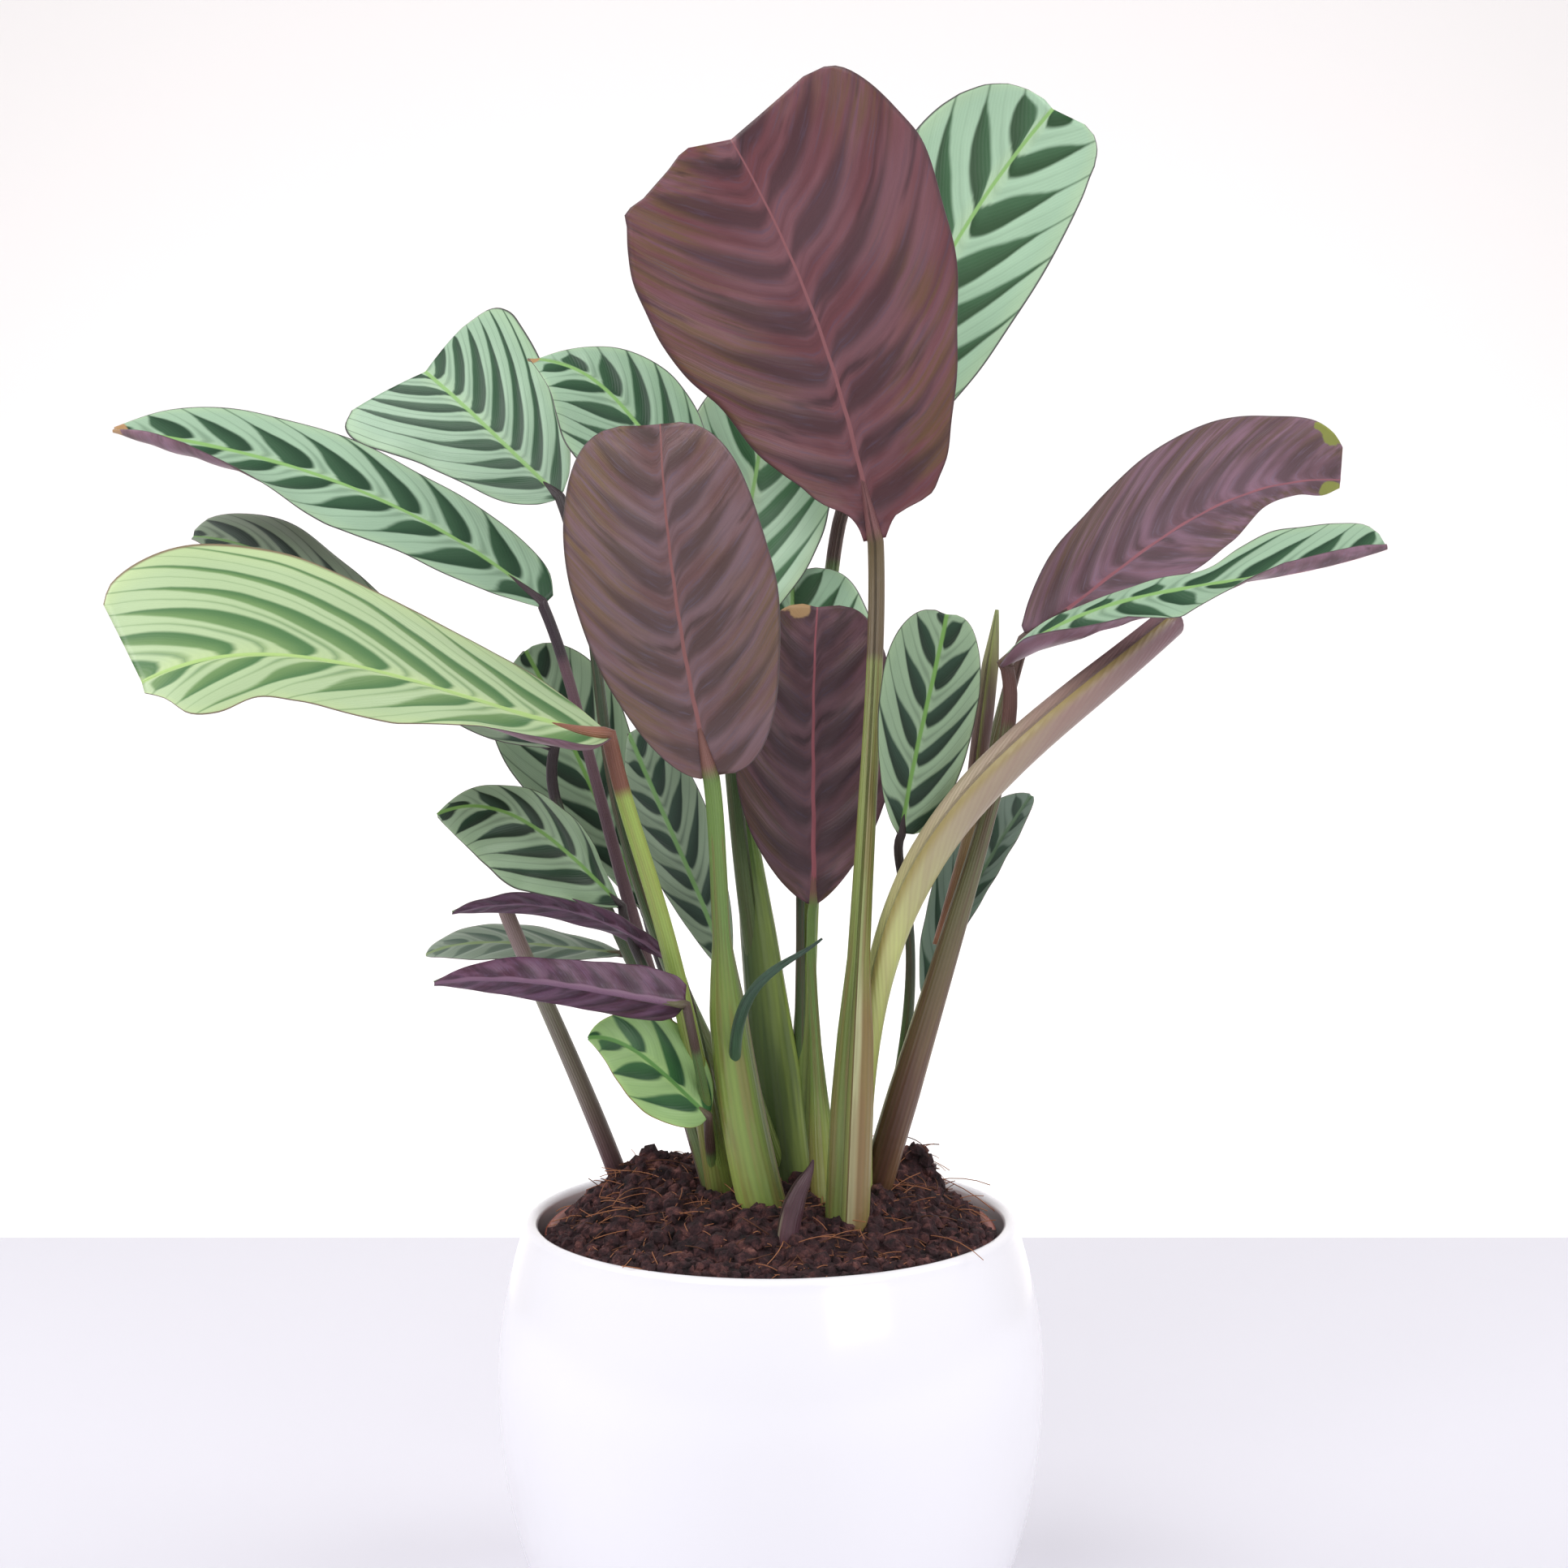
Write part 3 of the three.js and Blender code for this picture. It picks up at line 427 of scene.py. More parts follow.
    "back": dict(
        look="mint burgundy green", rib=[(20, 25, 311), (34, 32, 350), (53, 40, 388), (80, 45, 425)],
        stem=[(16, 24, 285), (12, 15, 225)], radii=(2, 2, 2.6, 5),
        face=[(-0.1, -1, 0.3), (0.1, -1, 0.3), (0.3, -1, 0.3)], width=(27, 26), widest=(2.4, 1.5),
        blunt=((0.3, 0.5), (0.5, 0.22)), fold=8, sweep=(0.1, 0.25), bars=7, ragged=0.5),
    # inner: the brighter pale look on its upper side is painted light, as the leaf lies in the shadow of the
    # tall leaf
    "inner": dict(
        look="pale plum bright", rib=[(-11, 8, 272), (-8, 12, 297), (-4, 16, 321), (0, 18, 346)],
        stem=[(-10, 11, 250), (-4, 8, 200), (6, -2, 118)], radii=(1.7, 2.2, 4.8, 6.6, 6.6),
        face=[(0, -1, 0.3), (0, -1, 0.3), (0.1, -1, 0.3)], width=(22, 22), widest=(1.3, 1.3),
        blunt=[(0.62, 0.3)] * 2, fold=8, bars=6),
    "hidden": dict(
        look="mint burgundy dark", rib=[(8, 7, 228), (7, 9, 250), (6, 11, 272), (6, 13, 294)],
        stem=[(8, 7, 210), (8, 5, 165)], radii=(1.1, 1.2, 1.8, 2.2),
        face=[(0, -1, 0.3), (0, -1, 0.3), (0.1, -1, 0.3)], width=(20, 23), widest=(1.5, 1.5),
        blunt=[(0.6, 0.3)] * 2, fold=6, bars=5.5),
    "high": dict(
        look="banded plum dull", rib=[(-15, -5, 307), (-33, -2, 329), (-47, 0, 344), (-65, 2, 350)],
        stem=[(-13, 1, 275), (-8, 5, 215)], radii=(1.6, 1.8, 2.4, 2.8, 2.6),
        face=[(0.1, -1, 0.5), (0.1, -0.95, 0.55), (0.1, -0.9, 0.6)], width=(23, 16), widest=(1.0, 1.0),
        blunt=((0.7, 1.0), (0.45, 1.6)), fold=10, cup=10, bars=6, scorch=[(1, 0, 2.5)]),
    "arched": dict(
        look="banded plum dark", rib=[(-58, 16, 314), (-72, 24, 327), (-85, 34, 339), (-99, 46, 351)],
        stem=[(-47, 6, 265), (-36, 2, 210)], radii=(1.5, 1.5, 2, 2.6, 4.4),
        face=[(-0.25, -0.9, 0.4), (-0.25, -0.85, 0.45), (-0.3, -0.75, 0.55)], cup=-10, sweep=(0.45, 0.3),
        bars=7,
        margin=(
            [(0, 1), (0.06, 6), (0.2, 12), (0.4, 16), (0.6, 20), (0.75, 25), (0.87, 28), (0.95, 27),
             (1, 22)],
            [(0, 1), (0.06, 7), (0.2, 14), (0.4, 20), (0.6, 25), (0.8, 29), (0.9, 30), (0.96, 27), (1, 17)],
        ),
    ),
    "standing": dict(
        look="deep plum dark", rib=[(-34, 8, 199), (-45, 12, 224), (-57, 16, 250), (-68, 18, 272)],
        stem=[(-28, 8, 180), (-15, 6, 152)], radii=(1.4, 1.6, 2.4, 4.4), face=[(0, -1, 0.4)] * 3,
        width=(19, 17), widest=(2.0, 2.0), blunt=((0.5, 0.8), (0.38, 0.5)), bars=6.5),
    "grey": dict(
        look="shaded plum green", rib=[(-11, -22, 188), (-19, -22, 209), (-27, -24, 228), (-37, -22, 251)],
        stem=[(-8, -17, 170), (-2, -8, 145)], radii=(1.6, 1.8, 2.4, 4.4), face=[(0, -1, 0.4)] * 3,
        width=(9, 11), widest=(1.2, 1.7), blunt=((0.5, 0.9), (0.4, 0.35)), bars=6.5),
    "pleated": dict(
        look="dusky plum dark", rib=[(43, 15, 175), (51, 12, 194), (59, 10, 212), (72, 12, 232)],
        stem=[(39, 14, 162), (33, 12, 142)], radii=(1.4, 1.6, 2.2, 3.2), face=[(-0.6, -0.8, 0.3)] * 3,
        width=(13, 5), widest=(1.35, 1.9), blunt=((0.42, 0.6), (1.0, 0.5)), fold=10, bars=6),
}
SHOOTS = {  # where each shoot stands in the soil, and its leaves
    "shoot_front": ((0, -26, 118), "front"),
    "shoot_middle": ((19.5, -32, 118), "tall middle"),
    "shoot_right": ((26, -6, 118), "small upper wavy"),
    "shoot_left": ((-12, -10, 118), "near behind long lower folded pale curled round"),
    "shoot_back": ((7, 1, 118), "back inner hidden high arched standing grey"),
    "shoot_far_right": ((26, 10, 118), "pleated"),
}
PLAIN_LEAF = dict(
    fold=0, cup=0, sweep=(0.15, 0.15), wave=0, veins=(0.75, 0.85), pleat=0.32, ragged=0, scorch=(), yellow=())
for shoot, (foot, names) in SHOOTS.items():
    for name in names.split():
        LEAVES[name] = PLAIN_LEAF | LEAVES[name] | dict(node=shoot, foot=foot)
print(len(LEAVES), "leaves")

# %% [markdown]
# ## The leaf blade
#
# A blade is a grid: `t` runs from base to tip and `s` from margin to margin. Each lateral vein
# leaves the midrib at a steep angle and bends towards the tip. `vein` counts those veins, so every
# point knows how far it lies between two of them: the shader paints the strokes with it, and the
# mesh uses the same number to raise the soft pleats between the veins.

# %% Blade geometry
ROWS, HALF = 84, 18  # grid lines along the blade, and across each half
THICK, EDGE = 0.55, 0.18  # blade thickness at the midrib and at the margin, mm
RIB_STANDS, RIB_HALF = 0.9, 0.8  # how far the midrib stands out beneath, and its half width, mm
NARROWEST = 0.3  # least half width of a written margin, mm
RIPPLE, LIFT = 0.01, 0.5  # waves of the margin: share of the half width, and height in mm
TORN_FROM = 0.8  # where the ragged part of a margin begins
WAVES, WAVE_LEAD = 3, 0.27  # waves along a margin, and how far those of the right side are ahead
VEIN_STEP, STEP_WITHIN = 0.25, 0.08  # shift of the veins between the sides, made up beside the midrib
FIRST_VEIN = 0.3  # start of the veins, in half widths


def half_width(t, widest, blunt):
    return np.clip(np.sin(np.pi * t**widest), 0, 1) ** (blunt[0] + (blunt[1] - blunt[0]) * t)


def through(knots, t):
    """A smooth curve through the points (place, half width)."""
    x, y = np.array(knots, float).T
    rise, run = (np.r_[v[1:], v[-1]] - np.r_[v[0], v[:-1]] for v in (y, x))
    slope = rise / run
    i = np.clip(np.searchsorted(x, t, side="right") - 1, 0, len(x) - 2)
    h = x[i + 1] - x[i]
    f = (t - x[i]) / h
    ends = (1 + 2 * f) * (1 - f) ** 2 * y[i] + f**2 * (3 - 2 * f) * y[i + 1]
    return np.maximum(ends + h * f * (1 - f) * ((1 - f) * slope[i] - f * slope[i + 1]), NARROWEST)


def ripple(rng, t, count=5):
    """A small smooth random curve along the margin."""
    waves = range(2, 2 + count)
    return sum(rng.normal() / k * np.sin(2 * np.pi * k * t + rng.uniform(0, 6.28)) for k in waves)


def one_side(value, k):
    return value[k] if isinstance(value, tuple) else value


def blade_frame(leaf, t):
    """Midrib points and the three directions of the blade at the places t."""
    rib, length = evenly(leaf["rib"], len(t), t[0], t[-1])
    along = unit(np.gradient(rib, axis=0))
    first, middle, last = unit(np.array(leaf["face"], float))
    f = t[:, None]
    face = np.where(f < 0.5, first + (middle - first) * 2 * f, middle + (last - middle) * (2 * f - 1))
    up = unit(face - (face * along).sum(-1, keepdims=True) * along)
    return rib, along, up, np.cross(along, up), length


def blade_grid(leaf, rng):
    t = np.linspace(0.006, 0.997, ROWS) ** 0.97
    rib, along, up, right, length = blade_frame(leaf, t)
    s = np.linspace(-1, 1, 2 * HALF + 1)
    grid = np.zeros((ROWS, len(s), 3))
    vein, out_mm = np.zeros((2, ROWS, len(s)))
    period = length / leaf["bars"]
    lean, bend = leaf["veins"]
    for k, side in ((0, -1), (1, 1)):
        if "margin" in leaf:
            w = through(leaf["margin"][k], t)
            full = w.max()
        else:
            full = leaf["width"][k]
            w = full * half_width(t, leaf["widest"][k], leaf["blunt"][k])
        w = w * (1 + RIPPLE * ripple(rng, t))
        w = w - leaf["ragged"] * np.abs(ripple(rng, t, 24)) * np.clip((t - TORN_FROM) * 8, 0, 1)
        fold, cup = (np.radians(listed(one_side(leaf[key], k), t)) for key in ("fold", "cup"))
        cup = np.where(np.abs(cup) < 0.001, 0.001, cup)
        phase = WAVES * t + (WAVE_LEAD if side > 0 else 0)
        wave = leaf["wave"] * np.sin(2 * np.pi * phase) * np.sin(np.pi * t)
        lift = LIFT * ripple(rng, t, 6)
        for j in np.where(s * side >= 0)[0]:
            u = abs(s[j])
            x = w * (np.sin(fold + cup * u) - np.sin(fold)) / cup
            z = w * (np.cos(fold) - np.cos(fold + cup * u)) / cup + wave * u**2 + lift * u**3
            # the veins: steep at the midrib, bending to the tip
            forward = lean * x + bend * x**2 / full
            apart = VEIN_STEP * side * min(u / STEP_WITHIN, 1)
            vein[:, j] = (t * length - forward + FIRST_VEIN * full) / period + apart
            pleat = np.sin(np.pi * min(u, 1)) ** 0.7 * np.sin(np.pi * t) ** 0.5
            z = z + leaf["pleat"] * np.cos(2 * np.pi * vein[:, j]) * pleat
            out_mm[:, j] = side * x
            onward = (leaf["sweep"][k] * x * t**3)[:, None]
            grid[:, j] = rib + right * (side * x)[:, None] + up * z[:, None] + along * onward
    return grid, t, s, vein, out_mm, length


def leaf_blade(name, leaf, materials):
    rng = np.random.default_rng(sum(map(ord, name)))
    grid, t, s, vein, out_mm, length = blade_grid(leaf, rng)
    normal = unit(np.cross(np.gradient(grid, axis=1), np.gradient(grid, axis=0)))
    rows, cols = vein.shape
    thick = ((EDGE + (THICK - EDGE) * (1 - s**4)) / 2)[None, :, None]
    bulge = (RIB_STANDS * np.exp(-((out_mm / RIB_HALF) ** 2)) * (1 - 0.75 * t[:, None]))[..., None]
    upside = np.mean(unit(np.array(leaf["face"], float)), axis=0)
    if (normal @ upside).mean() > 0:
        normal = -normal
    top, bottom = grid - normal * thick, grid + normal * (thick + bulge)
    points = np.concatenate([top.reshape(-1, 3), bottom.reshape(-1, 3)])
    i, j = np.meshgrid(np.arange(rows - 1), np.arange(cols - 1), indexing="ij")
    a = (i * cols + j).ravel()
    quad = np.stack([a, a + 1, a + cols + 1, a + cols], -1)
    below = quad[:, ::-1] + rows * cols
    ring = np.r_[
        np.arange(cols), np.arange(1, rows) * cols + cols - 1,
        (rows - 1) * cols + np.arange(cols - 2, -1, -1), np.arange(rows - 2, 0, -1) * cols,
    ]
    after = np.roll(ring, -1)
    strip = np.stack([ring, ring + rows * cols, after + rows * cols, after], -1)
    slots = np.repeat([0, 1, 2], [len(quad), len(below), len(strip)])

    def both(values):
        return np.tile(np.broadcast_to(values, (rows, cols)).ravel(), 2)

    def stain(key):
        """Spots at (place along, millimetres out from the midrib, size in mm)."""
        total = np.zeros((rows, cols))
        for place, out, size in leaf[key]:
            away = np.hypot((t[:, None] - place) * length, out_mm - out)
            total = np.maximum(total, np.clip(1.6 - away / size, 0, 1))
        return both(total)

    attributes = {
        "vein": both(vein), "across": both(s), "along": both(t[:, None]), "out_mm": both(out_mm),
        "scorch": stain("scorch"), "yellow": stain("yellow"),
    }
    return make_mesh(name, points, np.concatenate([quad, below, strip]), materials, slots, attributes)


# %% [markdown]
# ## Leaf materials
#
# The upper side is pale mint green with dark green strokes. A stroke is wide a third of the way out
# and thins to a line near the margin. Long strokes alternate with short ones. The under side is
# burgundy. The same strokes show on it as darker bands: partly the pattern seen through the blade,
# partly painted shade in the pleat valleys. Dark streaks along the side veins are painted shade too,
# and fine side veins catch the light.


# %% Leaf materials
LONG_STROKE = (  # half width at places from the midrib (0) to the margin (1)
    (0.0, 0.07), (0.1, 0.2), (0.3, 0.25), (0.5, 0.2), (0.66, 0.12), (0.8, 0.05), (0.9, 0.02), (1.0, 0.012))
SHORT_STROKE = ((0.0, 0.03), (0.1, 0.06), (0.3, 0.04), (0.6, 0.012), (1.0, 0.004))
FINE_VEINS = 11.0  # between two strokes
OTHER_SIDE = 37.0  # sets the random numbers of the two sides apart


def vein_masks(sh, soft, wide=1.0):
    """Where the masks come from (coordinates, vein, distance out), and the masks from 0 to 1: long
    stroke, how far across it (0 towards the base), short stroke and fine lines."""
    coords = sh.coords()
    wobble = sh.minus(sh.noise(coords, 55), 0.5)
    vein = sh.line(wobble, 0.16, sh.attribute("vein"))
    across = sh.attribute("across")
    out = sh.abs(across)
    side = sh.times(sh.math("GREATER_THAN", across, 0.0), OTHER_SIDE)

    def stroke(shift, widths, seed):
        moved = sh.plus(vein, shift)
        band = sh.plus(sh.math("FLOOR", moved), side)
        place = sh.minus(sh.math("FRACT", moved), 0.5)

        def chance(seed):
            """One random number for each stroke."""
            inputs = {"W": sh.plus(band, seed)}
            return sh.add("ShaderNodeTexWhiteNoise", inputs, noise_dimensions="1D").outputs["Value"]

        reach = sh.times(out, sh.line(chance(seed), 0.35, 0.86))
        spread = sh.line(chance(seed + 5), 0.3 * wide, 0.85 * wide)
        width = sh.times(sh.ramp(reach, widths, "CARDINAL"), spread)
        mask = sh.below(sh.minus(sh.abs(place), width), -soft, soft)
        return mask, sh.smooth(sh.math("DIVIDE", place, width), -0.8, 0.9)

    long, tone = stroke(0.0, LONG_STROKE, 1.3)
    short, _ = stroke(0.5, SHORT_STROKE, 9.3)
    fine = sh.abs(sh.minus(sh.math("FRACT", sh.times(vein, FINE_VEINS)), 0.5))
    return coords, vein, out, long, tone, short, fine


def stained(sh, coords, colour, scorch, yellow):
    """Dry brown tips and pale yellow-green spots, where the blade has them."""
    ragged = sh.line(sh.noise(coords, 300, 3), 0.8, -0.4)
    for key, hue in (("scorch", scorch), ("yellow", yellow)):
        colour = sh.tint(colour, hue, sh.smooth(sh.plus(sh.attribute(key), ragged), 0.35, 0.6))
    return colour


def upper_leaf(name, pale, bright, dark, deep, edge, rib, wide, minor):
    sh = Shader(f"leaf_upper_{name}")
    coords, _, out, long, tone, short, fine = vein_masks(sh, 0.06, wide)
    ground = sh.ramp(out, [(0.0, bright), (0.15, pale), (0.8, pale), (1.0, bright)])
    shaded = sh.mix(0.28, pale, dark)
    ground = sh.tint(ground, shaded, sh.smooth(sh.noise(coords, 28, 3), 0.35, 0.75), 0.45)
    colour = sh.tint(ground, shaded, fine, 0.32)
    green = sh.tint(sh.mix(tone, deep, dark), deep, sh.noise(coords, 90, 3), 0.5)
    colour = sh.tint(colour, green, short, minor)
    colour = sh.tint(colour, green, long)
    on_rib = sh.below(sh.abs(sh.attribute("out_mm")), 0.3, 0.8)
    colour = sh.tint(colour, rib, on_rib)
    colour = sh.tint(colour, edge, sh.smooth(out, 0.972, 0.992))
    colour = stained(sh, coords, colour, 0xB08A60, 0xA9B24E)
    height = sh.plus(sh.times(fine, 0.5), sh.times(on_rib, -0.8))
    return sh.finish(colour, 0.4, height, 0.0001, Specular_IOR_Level=0.4)


def under_leaf(name, base, shade, light, streak, cool, rib, edge):
    sh = Shader(f"leaf_under_{name}")
    coords, vein, out, long, _, short, fine = vein_masks(sh, 0.13)

    def streaks(across_veins, outwards, scale, detail=3):
        """Noise drawn out along the side veins."""
        return sh.noise(sh.xy(sh.times(vein, across_veins), sh.times(out, outwards)), scale, detail)

    colour = sh.mix(sh.smooth(streaks(1.3, 1.2, 1.0), 0.36, 0.62), base, light)
    zone = sh.times(sh.smooth(sh.noise(coords, 17), 0.42, 0.58), sh.smooth(out, 0.2, 0.6))
    warm = sh.smooth(streaks(5.0, 1.4, 1.3), 0.36, 0.66)
    colour = sh.tint(colour, streak, sh.times(warm, zone), 0.85)
    # the long and short strokes as darker bands: partly the pattern seen through the blade, partly painted
    # shade in the pleat valleys
    colour = sh.tint(colour, shade, long, 0.72)
    colour = sh.tint(colour, shade, short, 0.3)
    # painted shade: dark streaks along the side veins, for the shade in the folds
    colour = sh.tint(colour, shade, sh.smooth(streaks(2.4, 1.3, 0.9), 0.54, 0.72), 0.85)
    colour = sh.tint(colour, cool, sh.smooth(streaks(7.5, 1.9, 1.7), 0.52, 0.74), 0.4)
    grain = streaks(26.0, 2.5, 1.0, 2)
    colour = sh.tint(colour, shade, grain, 0.3)
    rib_half = sh.line(sh.attribute("along"), -0.5, 0.65)
    beside = sh.minus(sh.abs(sh.attribute("out_mm")), rib_half)
    colour = sh.tint(colour, rib, sh.below(beside, -0.12, 0.2))
    colour = sh.tint(colour, edge, sh.smooth(out, 0.97, 0.998), 0.6)
    colour = stained(sh, coords, colour, 0xB49068, 0x8E9440)
    height = sh.plus(sh.times(fine, 0.4), grain)
    return sh.finish(colour, 0.42, height, 0.00008, Specular_IOR_Level=0.5)


UPPER = {  # pale, bright, dark, deep, edge, midrib, width of the strokes, strength of the short ones
    "mint": (0xA9C9AC, 0xB4CFAA, 0x456C4B, 0x244726, 0x50504E, 0x8CB86E, 1.22, 0.15),
    # pale: a brighter copy of mint, painted light for the inner leaf, which lies in the shadow of the tall
    # leaf
    "pale": (0xC0DCC0, 0xC8DEB8, 0x5E8662, 0x3A6040, 0x50504E, 0x9CC87E, 1.22, 0.15),
    "banded": (0xA2C0A4, 0xAECBA6, 0x3A5F42, 0x22422C, 0x50504E, 0x8CB86E, 1.25, 0.35),
    "deep": (0x8FA888, 0x9AB48E, 0x274430, 0x132A18, 0x4A4A40, 0x6E9A4C, 1.15, 0.3),
    "lime": (0xB6CCA0, 0xC2D69E, 0x7A9A62, 0x527A4C, 0x8A7A60, 0xAFCF80, 1.1, 0.6),
    "young": (0x96B878, 0xA6C87E, 0x3A6A3A, 0x1E4A26, 0xA08848, 0x5E9048, 1.1, 0.1),
    "dusky": (0x74887A, 0x80947E, 0x34503E, 0x20382A, 0x4A4A4C, 0x5E7A5C, 1.05, 0.5),
    "faded": (0x8E9E8C, 0x98A894, 0x6E8070, 0x54685A, 0x60605A, 0x8AA070, 1.2, 0.3),
    "shaded": (0x84967E, 0x8FA184, 0x32483A, 0x1E3026, 0x4A4A4C, 0x6F965A, 1.1, 0.5),
}
# shade: the colour of the strokes and grain, and of the painted shade in the pleat valleys and dark streaks
UNDER = {  # base, shade, light, warm streaks, cool streaks, midrib, edge
    "burgundy": (0x743F45, 0x3A2026, 0x865860, 0x70522F, 0x5A5068, 0x905A5E, 0x463038),
    "greyed": (0x745252, 0x45312E, 0x84686E, 0x765C3A, 0x68627A, 0x8C5A58, 0x463A3C),
    "plum": (0x64434B, 0x3A252C, 0x7C5862, 0x56402A, 0x504660, 0xA25A64, 0x3A2830),
    "lilac": (0x7A5862, 0x523A3C, 0x9E788A, 0x6A5238, 0x8A7A92, 0xA4646C, 0x4A3840),
    "violet": (0x4C2239, 0x2E0E24, 0x6E4A64, 0x5E3A50, 0x6E5878, 0x7A5870, 0x4A3448),
}
UPPER = {name: upper_leaf(name, *look) for name, look in UPPER.items()}
UNDER = {name: under_leaf(name, *look) for name, look in UNDER.items()}
RIM = plain("leaf_margin", 0x5C5350, 0.5)
print(len(UPPER) + len(UNDER), "leaf materials")

# %% Build the blades
count = 0
for name, leaf in LEAVES.items():
    upper, under, _ = leaf["look"].split()
    blade = dress(leaf_blade(f"blade_{name}", leaf, [UPPER[upper], UNDER[under], RIM]), "leaf", leaf["node"])
    count += len(blade.data.polygons)
print("blades:", count, "faces")

# %% [markdown]
# ## Leaf stalks
#
# A stalk is brown and a little swollen just under the blade, thin and green below that, and widens
# into a sheath which wraps the shoot. The sheath's section is a spiral: its radius grows round the
# stalk and drops at the margin, which leaves the ledge of the overlapping edge.


# %% Stalk geometry
AROUND, STEPS = 20, 48  # points round a stalk, and rings along it
SHEATH_FROM = 2.2  # radius from which a stalk is a sheath, mm


def tube(name, points, radii, material, ledge, turn=0.0, lead=None):
    """lead: points and radii before the first point, from the thin end."""
    middle, length = evenly(points, STEPS)
    t = np.linspace(0, 1, STEPS)
    run, radii = t * length, listed(radii, t)
    if lead is not None:
        before, before_radii = lead
        radii = np.r_[before_radii, radii]
        gaps = np.linalg.norm(np.diff(np.r_[before, middle[:1]], axis=0), axis=1)
        run = np.r_[-np.cumsum(gaps[::-1])[::-1], run]
        middle, t = np.r_[before, middle], np.r_[np.zeros(len(before)), t]
    along = unit(np.gradient(middle, axis=0))
    side = np.zeros_like(middle)
    current = np.array([0.0, 1.0, 0.0])
    for i, forward in enumerate(along):
        side[i] = current = unit(current - (current @ forward) * forward)
    radius = np.maximum(radii, 0.05)
    angle = np.linspace(0, 2 * np.pi, AROUND, endpoint=False)
    wrap = ((angle - turn) / (2 * np.pi)) % 1
    sheath = np.clip((radius - SHEATH_FROM) / 2.5, 0, 1)
    r = (radius[:, None] * (1 + np.outer(sheath * ledge, wrap - 0.5)))[..., None]
    across, other = side[:, None], np.cross(along, side)[:, None]
    rings = middle[:, None] + across * (r * np.cos(angle)[:, None]) + other * (r * np.sin(angle)[:, None])
    points, faces = skin(rings, middle[0], middle[-1])
    wraps = np.clip((radius - SHEATH_FROM) / 2.0, 0, 1)
    attributes = {
        "down": np.r_[np.repeat(t, AROUND), 0, 1],
        "around": np.r_[np.tile(wrap, len(t)), 0, 0],
        "sheath": np.r_[np.repeat(wraps, AROUND), 0, 1],
        "down_mm": np.r_[np.repeat(run, AROUND), run[0], length],
    }
    return make_mesh(name, points, faces, [material], None, attributes)


def stalk_material(name, rib, joint, green, sheath, foot, flush, flushed, joint_mm=13.0):
    """rib: the run under the blade; joint: the swollen top; green: the thin stalk; sheath and foot: the
    lower part; flush: its blush; flushed: how strong that is; joint_mm: length of the swollen top."""
    sh = Shader(f"stalk_{name}")
    down, around, mm = (sh.attribute(key) for key in ("down", "around", "down_mm"))
    body = sh.ramp(down, [(0.0, green), (0.35, green), (0.62, sheath), (0.95, foot)])
    wrapped = sh.ramp(around, [
        (0.0, 0x4E5C30), (0.25, sheath), (0.6, foot), (0.84, flush), (0.93, flush), (0.96, 0xC6C79C)])
    colour = sh.tint(body, wrapped, sh.attribute("sheath"), 0.8)
    streaks = sh.noise(sh.xy(sh.times(around, 9.0), sh.times(mm, 0.02)), 1.0, 3)
    colour = sh.tint(colour, flush, sh.smooth(streaks, 0.45, 0.62), flushed)
    colour = sh.tint(colour, joint, sh.below(mm, joint_mm, joint_mm + 4))
    colour = sh.tint(colour, rib, sh.below(mm, -5.0, 1.0))
    lines = sh.math("SINE", sh.times(around, 2 * math.pi * 22))
    colour = sh.tint(colour, 0x2A3A20, sh.line(lines, 0.06, 0.06))
    height = sh.plus(sh.times(lines, 0.3), sh.noise(sh.coords(), 400))
    return sh.finish(colour, 0.38, height, 0.00012, Specular_IOR_Level=0.5)


STALKS = {  # as in stalk_material
    "green": (0x6E6A48, 0x54403A, 0x5F7A48, 0x8AA252, 0x9CB060, 0x6A5A3C, 0.35),
    "tall": (0x86585A, 0x6C5A40, 0x8A9450, 0x7E8E48, 0xA6B064, 0x80603F, 0.5, 30),
    "front": (0x8A6058, 0x6E8A48, 0x6E8A48, 0x7C9448, 0xA4B25C, 0x80603F, 0.45),
    "dull": (0x8A5A5E, 0x5A6040, 0x4C5E3A, 0x5E7040, 0x6E7E44, 0x5C4A38, 0.3),
    "yellow": (0x9A6450, 0x7A4C3C, 0x98AE54, 0x8CA04E, 0x88964E, 0x8C5A48, 0.2),
    "dark": (0x3E3036, 0x34282C, 0x3E4E38, 0x5C7446, 0x7C8A50, 0x6A4A40, 0.5),
    "reddish": (0x6A5A44, 0x6A4A44, 0x666A48, 0x6C6642, 0x7A5A40, 0x5A3A32, 0.6),
    "bright": (0x6E6A48, 0x54403A, 0x7C9A4C, 0x90A84C, 0x8C9E4C, 0x3E5436, 0.5),
    "rust": (0x5A4A44, 0x5A4038, 0x6A6E46, 0x8A7850, 0x935F48, 0x8A5648, 0.5),
    "cut": (0x8A6E70, 0x86706C, 0x84826C, 0x887E6E, 0x8A6270, 0x6E5A58, 0.4),
    "bud": (0x54343E, 0x4C3038, 0x4A2C36, 0x462A34, 0x523440, 0x6A4A50, 0.4),
    "mauve": (0x4A3840, 0x40303A, 0x6C5058, 0x7C6066, 0x84626C, 0x6A4A58, 0.5),
}
STALKS = {name: stalk_material(name, *look) for name, look in STALKS.items()}

